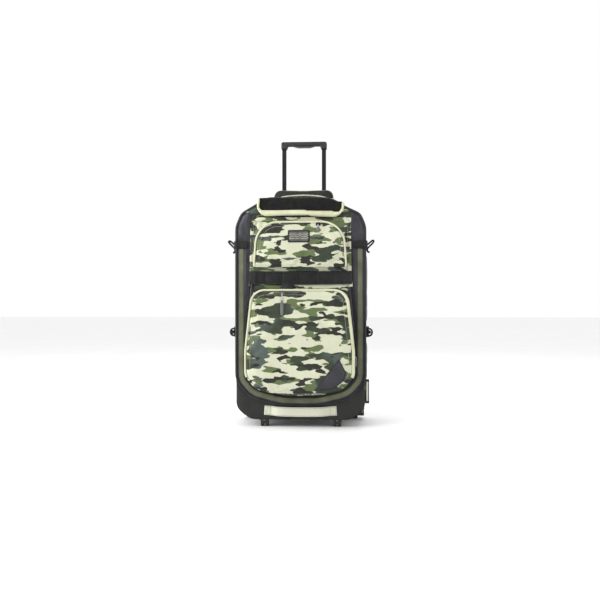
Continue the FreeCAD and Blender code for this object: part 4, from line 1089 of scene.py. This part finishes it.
def lid():
    """The printed lid with its lining, half of the main zip, cover strips and stitching."""
    band_low, band_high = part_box("front_band")
    pocket_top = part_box("lower_pocket_wall")[1].z

    def pressed(x, z):
        """1 where the band or the lower pocket holds the skin flat."""
        over, under = z - band_low.z + 14 * MM, band_high.z + 14 * MM - z
        band_share = smooth(over / (8 * MM)) * smooth(under / (8 * MM))
        pocket_share = smooth((pocket_top + 4 * MM - z) / (6 * MM))
        return np.maximum(band_share, pocket_share * (z > 0.13))

    main = skin("lid_skin", right_half(LID), FRONT, 3.5 * MM, "lid", "lid_panel", 14.0, flatten=pressed)
    inner_edge = right_half(offset(LID, -1.5 * MM))
    y = FRONT + 0.6 * MM
    panel("lid_lining", inner_edge, y, quilted, "lid", LINING, facing=1, thickness=1.0 * MM)
    y = FRONT - 0.4 * MM
    inner = open_loop(offset(LID, -2.9 * MM), HINGE_GAP, HINGE_LINE)
    zip_half("lid_zip_inner_half", inner, 5, "lid", "lid_zip_inner", 2.6 * MM, y)
    outer = offset(LID, 4.4 * MM)
    zip_half("lid_zip_outer_half", outer, 5, "bag", "lid_zip_outer", -2.7 * MM, y, closed=True)
    # plain binding beside the lower pocket, and a printed cover over the zip from there up
    cover_from = 0.45
    border = open_loop(offset(LID, -8.5 * MM), HINGE_GAP, HINGE_LINE)
    profile = tape_profile(9, 2.2, crown=1.2)
    for side, part in zip(SIDES, split_sides(border[border[:, 1] < cover_from + 2 * MM])):
        line = resample(in_front(part, FRONT - 1.6 * MM), 5 * MM)
        sweep(f"lid_binding_{side}", line, profile, "lid", COATED)
    cover = offset(LID, -3.5 * MM)
    upper = np.where(cover[:, 1] > cover_from)[0]
    cover = cover[upper[0] : upper[-1] + 1]
    profile = tape_profile(13, 1.2, crown=0.8)
    line = in_front(cover, FRONT - 2.6 * MM)
    sweep("lid_zip_cover", line, profile, "lid", CAMO, slot="camo_fabric")
    t = tangents(cover)
    inside = cover - np.column_stack([t[:, 1], -t[:, 0]]) * 4.4 * MM
    stitches("lid_cover_stitching", [in_front(inside, FRONT - 4.3 * MM)], "lid", THREAD_PALE)
    low_line = open_loop(offset(LID, -8 * MM), 70 * MM, HINGE_LINE)
    low_line = low_line[low_line[:, 1] < 0.325]
    rows = [settle(in_front(part, FRONT), main, 0.15 * MM) for part in split_sides(low_line)]
    stitches("lid_stitching", rows, "lid", THREAD_DARK)


def band():
    """The black band across the lid, tacked down at even steps so that it bows out between."""
    low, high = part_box("front_band")
    low.x, high.x = low.x - 18 * MM, high.x + 18 * MM
    tacks = 6
    x = np.linspace(low.x, high.x, 121)
    share = (x - low.x) / (high.x - low.x)
    bow = np.abs(np.sin(math.pi * tacks * share))
    middle = (low.z + high.z) / 2
    over_cover = smooth((np.abs(x) - 0.135) / (12 * MM))
    y = FRONT - (1.4 + 2.2 * bow + 3.2 * over_cover) * MM
    path = np.column_stack([x, y, middle - 1.5 * MM * np.sin(math.pi * share)])
    half = (high.z - low.z) / 2
    profile = [(-half, 0), (-half, 1.4 * MM), (-half + 2 * MM, 1.9 * MM)]
    profile += [(k * half, 1.9 * MM + 0.5 * MM * (1 - k * k)) for k in (-0.5, 0, 0.5)]
    profile += [(half - 2 * MM, 1.9 * MM), (half, 1.4 * MM), (half, 0)]
    sweep(
        "front_band_webbing", path, profile[::-1], "lid", WEBBING, slot="black_webbing",
        replaces=["front_band"],
    )
    rows = []
    ends = (low.z + 3 * MM, high.z - 3 * MM)
    for tack in np.linspace(low.x, high.x, tacks + 1):
        for shift in (-1.2 * MM, 1.2 * MM):
            at = min(max(tack, low.x + 3 * MM), high.x - 3 * MM) + shift
            ahead = np.interp(at, x, y) - 2.3 * MM
            rows.append([(at, ahead, z) for z in ends])
    for edge in (low.z + 2.6 * MM, high.z - 2.6 * MM):
        rows.append((path + [0, -2.1 * MM, edge - middle])[3:-3])
    stitches("band_stitching", rows, "lid", THREAD_DARK, pitch=3.2 * MM, length=2.2 * MM)


def pocket(name, outline, flap, soft, seed, piping_from, piping_swell, flare, pull_from, gap):
    """One pocket: its gusset and rim, its puffed flap, its zip and its pale piping.

    The gusset leans out by the flare at the lid. The flap stays flatter above pull_from, where the
    zip's pull hangs in front of it. The zip leaves out a gap each side of the bottom's middle.
    """
    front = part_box(f"{name}_pocket_wall")[0].y
    foot = outline[:, 1].min()
    body = f"{name}_flap"
    share = np.linspace(0, 1, 13)
    free = smooth((outline[:, 1] - foot - 25 * MM) / (50 * MM))
    points = []
    for k in share:
        wider = offset(outline, flare * (1 - k) + 2 * MM * math.sin(math.pi * k)) - outline
        points.append(in_front(outline + wider * free[:, None], FRONT - (FRONT - front) * k))
    # the rim turns in round the front edge and lies flat up to the flap's zip
    rim = ((-1.2, 0.9), (-3.0, 1.2), (-5.5, 0.8), (-7.6, 0.0))
    for inset, ahead in rim:
        points.append(in_front(offset(outline, inset * MM), front - ahead * MM))
    rings, count = len(points), len(outline)
    points = np.vstack(points)
    wrinkle = creases(points, 45 * MM, seed, (1, 0.6, 1.2)) - 0.6
    middle = np.repeat(np.concatenate([np.sin(math.pi * share), [0] * len(rim)]), count)
    out = np.tile(in_front(offset(outline, 1.0) - outline, 0), (rings, 1))
    points += out * (wrinkle * (middle * np.tile(free, rings)) * 1.6 * MM)[:, None]
    faces = grid_faces(rings, count, closed=True)
    make(
        f"{name}_pocket_gusset", points, faces, "lid", CAMO, slot="camo_fabric",
        replaces=[f"{name}_pocket_wall"], lining=LINING, thickness=1.5 * MM,
    )

    def pressed(x, z):
        return 0.62 * smooth((z - pull_from + 18 * MM) / (22 * MM))

    main = skin(
        f"{name}_flap_skin", right_half(offset(flap, 3.4 * MM)), front, soft, body, body, seed + 5,
        cap=2.6 * MM, flatten=pressed, hem=3.0 * MM, wall=0.9 * MM,
    )
    y = front - 0.3 * MM
    inner = open_loop(offset(flap, -2.4 * MM), gap, foot + 16 * MM)
    zip_half(f"{name}_zip_inner_half", inner, 4, body, f"{name}_zip_inner", 2.1 * MM, y)
    outer = open_loop(offset(outline, -5.4 * MM), gap + 18 * MM, foot + 16 * MM)
    zip_half(f"{name}_zip_outer_half", outer, 4, "lid", "pocket_zips_outer", -2.0 * MM, y)
    edge = resample(open_loop(outline, 200 * MM, piping_from), 4 * MM)
    wider = 1 + piping_swell * smooth((edge[:, 0] - 0.12) / (25 * MM))
    sweep(
        f"{name}_pocket_piping", in_front(edge, front - 0.5 * MM), round_profile(3.2), "lid", CREAM,
        size=np.column_stack([wider, np.full(len(edge), 0.88)]),
        slot="cream_trim", replaces=["pocket_piping"],
    )
    line = resample(open_loop(offset(flap, -7 * MM), gap, foot + 24 * MM), 4 * MM)
    row = settle(in_front(line, front), main, 0.15 * MM)
    stitches(f"{name}_flap_stitching", [row], body, THREAD_PALE)
    return main


def label(under):
    """A woven label on the upper flap: a dark border, and three rows of plain wavy stitching."""
    low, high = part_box("blank_patch")
    centre, half = (low + high) / 2, (high - low) / 2

    def plate(name, shrink, lift, material, replaces=()):
        x, z = half.x - shrink, half.z - shrink
        corner = 3 * MM
        right = [(0, -z), (x - corner, -z), (x, corner - z), (x, z - corner), (x - corner, z), (0, z)]
        x, z, loop, rows, columns = fill(np.array(right), 2 * MM)
        distance = edge_distance(np.column_stack([x, z]), loop)
        points = settle(np.column_stack([x + centre.x, 0 * x, z + centre.z]), under, lift)
        points[:, 1] -= 0.7 * MM * smooth(distance / (2 * MM))
        faces = grid_faces(rows, columns)
        return make(
            name, points, faces, "upper_flap", material, slot="patch_fabric", replaces=replaces,
            thickness=1.0 * MM,
        )

    plate("label_border", 0, 0.8 * MM, BALLISTIC, ["blank_patch"])
    face = plate("label_face", 5 * MM, 1.4 * MM, LABEL)
    x = np.linspace(6 * MM - half.x, half.x - 6 * MM, 60)
    rows = []
    for level, swing in ((6.5, 1.8), (0, 3.2), (-7, 1.4)):
        z = level * MM + swing * MM * np.sin(x / (2.6 * MM)) * np.cos(x / (11 * MM))
        rows.append(settle(np.column_stack([x + centre.x, 0 * x, z + centre.z]), face, 0.3 * MM))
    stitches(
        "label_embroidery", rows, "upper_flap", THREAD_PALE, pitch=2.6 * MM, length=2.4 * MM,
        radius=0.8 * MM,
    )


def corner_guard(under):
    """The glossy wedge in the lower right of the lower flap, bound along its edges."""
    corners = np.array([(50, 128), (106, 132), (139, 160), (146, 181), (124, 224)]) * MM
    path = resample(corners, 3 * MM, closed=True)
    centre = path.mean(axis=0)
    rings = 14
    share = np.linspace(0, 1, rings)[:, None, None]
    flat = (centre * (1 - share) + path * share).reshape(-1, 2)
    points = settle(in_front(flat, 0), under, 1.0 * MM)
    points[:, 1] -= 1.8 * MM * smooth(edge_distance(flat, path) / (9 * MM))
    faces = grid_faces(rings, len(path), closed=True, flipped=True)
    piece = make(
        "corner_guard", points, faces, "lower_flap", COATED, slot="black_fabric",
        replaces=["corner_patch"], thickness=1.6 * MM,
    )
    edge = settle(in_front(path, 0), under, 1.2 * MM)
    profile = round_profile(1.7, flat=0.8, sides=10)
    sweep("corner_guard_binding", edge, profile, "lower_flap", PIPING_BLACK, closed=True)
    row = resample(centre + (corners - centre) * 0.86, 3 * MM, closed=True)
    row = settle(in_front(row, 0), piece, 0.15 * MM)
    stitches("corner_guard_stitching", [row], "lower_flap", THREAD_DARK)


# ---------------------------------------------------------------- webbing
def mirrored(places):
    """A symmetric row of places from its left part, which ends in the middle."""
    return places + [(-x, y) for x, y in places[-2::-1]]


def base_handle():
    """The pale webbing handle across the boot's front, sewn down at both ends."""
    low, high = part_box("base_handle")
    middle, width = (low.z + high.z) / 2, high.z - low.z
    reach, out = high.x, low.y + 2.5 * MM
    sewn = FRONT - 2 * MM
    left = [(-reach, sewn), (-reach + 24 * MM, sewn), (-reach + 50 * MM, out), (0, out)]
    path = curve_through(mirrored(left), 5 * MM)
    droop = 4 * MM * (1 - (path[:, 0] / reach) ** 2)
    line = np.column_stack([path, middle + 1.5 * MM - droop])
    profile = tape_profile(width / MM, 3.4, crown=0.6, sunk=1.8)
    sweep(
        "base_haul_handle", line, profile, "bag", CREAM_WEBBING,
        slot="cream_trim", replaces=["base_handle"],
    )
    rows = []
    inside = width / 2 - 3 * MM
    for sign in SIDES.values():
        for inset in (4 * MM, 20 * MM):
            x = sign * (reach - inset)
            rows.append([(x, sewn - 2.2 * MM, middle + 1 * MM + edge * inside) for edge in (-1, 1)])
    rows += [(line + [0, -2.0 * MM, edge * inside])[1:-1] for edge in (-1, 1)]
    stitches("base_handle_stitching", rows, "bag", THREAD_DARK)


def top_handle():
    """The grab handle on the top: webbing padded over its middle, bound along both edges."""
    low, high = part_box("top_handle")
    reach, peak = high.x, high.z
    foot = low.z + 2.5 * MM
    left = [(-reach, foot), (-reach + 16 * MM, foot + 0.5 * MM), (-reach + 34 * MM, foot + 5 * MM)]
    left += [(-reach + 62 * MM, peak - 16 * MM), (0, peak - 14 * MM)]
    path = curve_through(mirrored(left), 4 * MM)
    line = in_front(path, (low.y + high.y) / 2)
    width = high.y - low.y
    thick = 1 + 1.1 * smooth((0.85 - np.abs(path[:, 0]) / reach) / 0.3)
    turns = np.linspace(0, 2 * math.pi, 16)[:-1]
    piece = sweep(
        "top_grab_handle", line, [(width * 0.5 * math.cos(a), 2.2 * MM * math.sin(a)) for a in turns],
        "bag", OLIVE_WEBBING, up=(0, 0, 1), size=np.column_stack([np.ones(len(path)), thick]),
        slot="olive_webbing", replaces=["top_handle"],
    )
    rows = []
    for sign in SIDES.values():
        for inset in (4 * MM, 8 * MM, 18 * MM):
            x, z = sign * (reach - inset), foot + 2.4 * MM
            rows.append([(x, low.y + 4 * MM, z), (x, high.y - 4 * MM, z)])
    stitches("top_handle_stitching", rows, "bag", THREAD_PALE, up=(0, 0, 1))
    profile = round_profile(2.6, flat=1.0, sides=10)
    for name, sign in (("front", -1), ("rear", 1)):
        edge = line.copy()
        edge[:, 1] += sign * width / 2
        edge[:, 2] += 2.4 * MM * (thick - 1)
        sweep(f"top_handle_binding_{name}", edge, profile, "bag", CREAM, up=(0, 0, 1))


def strap(name, sign, places, z, replaces=()):
    """Flat webbing at one height: places are distances outwards and along the depth."""
    path = curve_through([(sign * x, y) for x, y in places], 3 * MM)
    line = np.column_stack([path, np.full(len(path), z)])
    profile = tape_profile(STRAP_WIDTH, 1.6, crown=0.2, sunk=0.8)
    sweep(name, line, profile, "bag", WEBBING, side=(0, 0, 1), slot="black_webbing", replaces=replaces)


def loose_end(name, sign, places, y, z, body):
    """The free end of a strap, turned edge on: places are millimetres outwards and upwards."""
    path = curve_through([(sign * (SIDE + 1.5 * MM + a * MM), z + b * MM) for a, b in places], 2 * MM)
    line = in_front(path, y + 3 * MM * np.sin(np.linspace(0, math.pi, len(path))))
    profile = tape_profile(20, 5, crown=0.3, sunk=2.5)
    sweep(name, line, profile, body, WEBBING, side=(0, 1, 0), slot="black_webbing")


def straps():
    """The upper straps over their adjusters, and the lower straps to their buckles."""
    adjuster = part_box("strap_adjusters")
    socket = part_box("buckle_sockets")
    wall, hump = SIDE + 1.0 * MM, SIDE + 7 * MM
    start = adjuster[0].y
    over_edge = [(0.169, FRONT - 2.2 * MM), (0.184, FRONT - 3 * MM), (SIDE - 8 * MM, FRONT - 3.6 * MM)]
    over_edge += [(SIDE - 1 * MM, FRONT - 6.2 * MM), (hump - 2 * MM, FRONT - 4.4 * MM)]
    over_edge += [(hump, FRONT + 2 * MM), (wall + 2 * MM, FRONT + 9 * MM), (wall, FRONT + 16 * MM)]
    over_bar = ((0, -8), (1.6, 2), (5, 7), (7.6, 12), (7, 18), (3, 22), (0.2, 26))
    over_bar = [(wall + a * MM, start + b * MM) for a, b in over_bar]
    upper_rear = [(wall, adjuster[1].y - 4 * MM), (wall + 0.4 * MM, 0.03)]
    upper_rear += [(wall + 0.2 * MM, 0.1), (wall, BACK - 1 * MM)]
    lower_front = [(SIDE + 0.4 * MM, y) for y in (FRONT + 6 * MM, -0.06, -0.046, -0.032)]
    lower_rear = [(wall + 0.4 * MM, socket[1].y - 7 * MM), (wall, 0.05)]
    lower_rear += [(wall + 0.2 * MM, 0.1), (wall, BACK - 1 * MM)]
    hook = [(0, -2), (8, 3), (16, 10), (23, 15), (27, 13), (24, 7)]
    hook += [(17, 0), (10, -7), (6, -14), (8, -21), (13, -23)]
    coil = [(6, 9), (12, 11), (19, 8), (22, 0), (19, -9), (12, -12)]
    coil += [(8, -8), (9, -1), (13, 3), (16, 0), (13, -4)]
    for side, sign in SIDES.items():
        strap(f"upper_strap_front_{side}", sign, over_edge + over_bar, UPPER_STRAP, ["side_straps"])
        strap(f"upper_strap_rear_{side}", sign, upper_rear, UPPER_STRAP)
        loose_end(f"upper_strap_tail_{side}", sign, hook, start - 13 * MM, UPPER_STRAP, "bag")
        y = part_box(f"buckle_plug_{side}")[0].y - 11 * MM
        loose_end(f"lower_strap_tail_{side}", sign, coil, y, LOWER_STRAP, f"buckle_{side}")
        strap(f"lower_strap_front_{side}", sign, lower_front, LOWER_STRAP)
        strap(f"lower_strap_rear_{side}", sign, lower_rear, LOWER_STRAP)
        rows = []
        x, ends = sign * (wall + 1.0 * MM), (LOWER_STRAP - 10 * MM, LOWER_STRAP + 10 * MM)
        for y in (FRONT + 9 * MM, BACK - 9 * MM):
            rows += [[(x, y + shift, z) for z in ends] for shift in (-3 * MM, 3 * MM)]
        stitches(f"strap_stitching_{side}", rows, "bag", THREAD_DARK, up=(sign, 0, 0), pitch=3 * MM)


# ---------------------------------------------------------------- zip pulls
def pulls():
    """On each slider, a cord loop through its bridge that ends in a moulded, ribbed tab."""
    for name in ("lid", "lower", "upper"):
        low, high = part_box(f"{name}_zip_pull")
        x, y = (low.x + high.x) / 2, (low.y + high.y) / 2
        top = high.z - 0.5 * MM
        knot = top - 0.32 * (high.z - low.z)
        left = [(x, top), (x - 0.9 * MM, top - 3 * MM)]
        left += [(x - 2.6 * MM, knot), (x - 1.2 * MM, knot - 3 * MM)]
        loop = left + [(2 * x - a, b) for a, b in left[::-1]]
        body = f"{name}_pull"
        cord = in_front(curve_through(loop, 1.2 * MM), y)
        sweep(
            f"{name}_pull_loop", cord, round_profile(1.0, sides=8), body, PULL_GREY,
            slot="pull_cord", replaces=[f"{name}_zip_pull"],
        )
        share = np.linspace(0, 1, 25)
        z = (knot + 1 * MM) * (1 - share) + low.z * share
        wide = 1 + 0.35 * np.sin(math.pi * share)
        wide = wide - 0.5 * near(share, 0, 0.12) - 0.5 * near(share, 1, 0.06)
        ribs = 1 + 0.16 * np.abs(np.sin(share * math.pi * 7))
        size = np.column_stack([wide, ribs * np.minimum(1, wide)])
        line = np.column_stack([0 * z + x, 0 * z + y, z])
        profile = round_profile(4.0, flat=0.32, sides=14)
        subdivide(sweep(f"{name}_pull_tab", line, profile, body, HUB, size=size, slot="pull_cord"))


def trolley_hood():
    """A padded fabric hood in front of the trolley bezel, with an olive cord along its top."""
    low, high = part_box("trolley_bezel")
    foot = low.z - 2.5 * MM
    right = curve_through(
        [(0, foot), (high.x, foot), (high.x + 2 * MM, low.z + 8 * MM)]
        + [(high.x + 1 * MM, high.z - 18 * MM), (high.x - 4 * MM, high.z - 7 * MM)]
        + [(high.x - 14 * MM, high.z - 1 * MM), (high.x - 30 * MM, high.z), (0, high.z - 2 * MM)],
        3 * MM,
    )
    named = {"step": 4 * MM, "slot": "black_fabric", "thickness": 1.6 * MM}
    height = domed(0.8 * MM, 4 * MM, 12 * MM)
    piece, _ = panel("trolley_hood", right, low.y, height, "bag", BALLISTIC, **named)
    cord = in_front(both_halves(right[right[:, 1] > low.z + 2 * MM][::-1]), low.y - 1 * MM)
    sweep("trolley_hood_cord", cord, round_profile(1.8), "bag", OLIVE)


def side_tag():
    """A ribbed tab sewn into the right front seam above the boot, with a pale middle."""
    z = np.linspace(0.077, 0.155, 30)
    bow = 1.5 * MM * np.sin(np.linspace(0, 2 * math.pi, 30))
    path = np.column_stack([0 * z + SIDE + 7 * MM, -0.072 + bow, z])
    sweep("side_tab", path, tape_profile(13, 1.4, crown=0.2), "bag", PIPING_BLACK)
    path = (path - [0, 1.5 * MM, 0])[3:-3]
    sweep("side_tab_face", path, tape_profile(6, 1.4, crown=0.2), "bag", CREAM_WEBBING)


def pocket_tab():
    """A black webbing tab from under the band down to the lower pocket's top edge."""
    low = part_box("front_band")[0].z
    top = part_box("lower_pocket_wall")[1].z
    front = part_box("lower_pocket_wall")[0].y
    path = curve_through(
        [(FRONT - 3 * MM, low + 4 * MM), (FRONT - 8 * MM, low - 1 * MM), (FRONT - 35 * MM, low - 6 * MM)]
        + [(front + 8 * MM, top + 6 * MM), (front + 1 * MM, top + 3 * MM)],
        3 * MM,
    )
    line = np.column_stack([np.full(len(path), -0.040), path])
    profile = tape_profile(40, 1.6, crown=0.2)
    sweep("pocket_tab", line, profile, "lid", WEBBING, side=(1, 0, 0), slot="black_webbing")


shell()
front_frame()
vent()
lid()
band()
lower_skin = pocket(
    "lower", LOWER, LOWER_FLAP, soft=5.0 * MM, seed=21.0, piping_from=0.165, piping_swell=0.6,
    flare=5 * MM, pull_from=0.36, gap=80 * MM,
)
upper_skin = pocket(
    "upper", UPPER, UPPER_FLAP, soft=4.5 * MM, seed=31.0, piping_from=0.515, piping_swell=0.0,
    flare=2 * MM, pull_from=0.62, gap=200 * MM,
)
label(upper_skin)
corner_guard(lower_skin)
base_handle()
top_handle()
straps()
pulls()
trolley_hood()
side_tag()
pocket_tab()


# ---------------------------------------------------------------- stage
def area_light(name, place, target, size, power):
    """A soft light at a place, turned to a target."""
    light = bpy.data.lights.new(name, "AREA")
    light.shape = "RECTANGLE"
    light.size, light.size_y = size
    light.energy = power
    lamp = bpy.data.objects.new(name, light)
    scene.collection.objects.link(lamp)
    lamp.location = place
    lamp.rotation_euler = (Vector(target) - Vector(place)).to_track_quat("-Z", "Y").to_euler()


def stage():
    """A pale floor, soft white light, and a camera at the photograph's angle."""
    half = 16.0
    corners = [(-half, -half, 0), (half, -half, 0), (half, half, 0), (-half, half, 0)]
    mesh = bpy.data.meshes.new("studio_floor")
    mesh.from_pydata(corners, [], [(0, 1, 2, 3)])
    floor = bpy.data.objects.new("studio_floor", mesh)
    scene.collection.objects.link(floor)
    g = Graph("studio_paper")
    tone = g.blend(g.between(g.noise(3, 3), 0.3, 0.7), (242, 242, 242), (245, 245, 245))
    mesh.materials.append(g.finish(tone, 0.75, [(g.noise(400, 3), 0.1 * MM)]))
    world = bpy.data.worlds.new("studio_white")
    world.use_nodes = True
    background = world.node_tree.nodes["Background"]
    background.inputs["Color"].default_value = (1, 1, 1, 1)
    background.inputs["Strength"].default_value = 1.0
    scene.world = world
    scene.view_settings.view_transform = "Standard"
    middle = (0, 0, 0.42)
    area_light("key", (-1.6, -2.2, 2.2), middle, (1.4, 1.4), 36)
    area_light("fill", (2.2, -1.8, 1.2), middle, (1.2, 1.8), 12)
    area_light("left_strip", (-2.2, -0.6, 0.9), middle, (0.5, 1.8), 40)
    area_light("back_top", (0.2, 1.8, 2.4), middle, (1.6, 1.0), 20)

    lens = bpy.data.cameras.new("camera")
    lens.lens, lens.sensor_width = 47.0, 36.0
    lens.clip_end = 50
    camera = bpy.data.objects.new("camera", lens)
    scene.collection.objects.link(camera)
    target = Vector((-0.0066, 0, 0.409))
    azimuth, distance = math.radians(3.5), 2.6
    camera.location = target + distance * Vector((math.sin(azimuth), -math.cos(azimuth), 0))
    camera.rotation_euler = (target - camera.location).to_track_quat("-Z", "Y").to_euler()
    scene.camera = camera


stage()
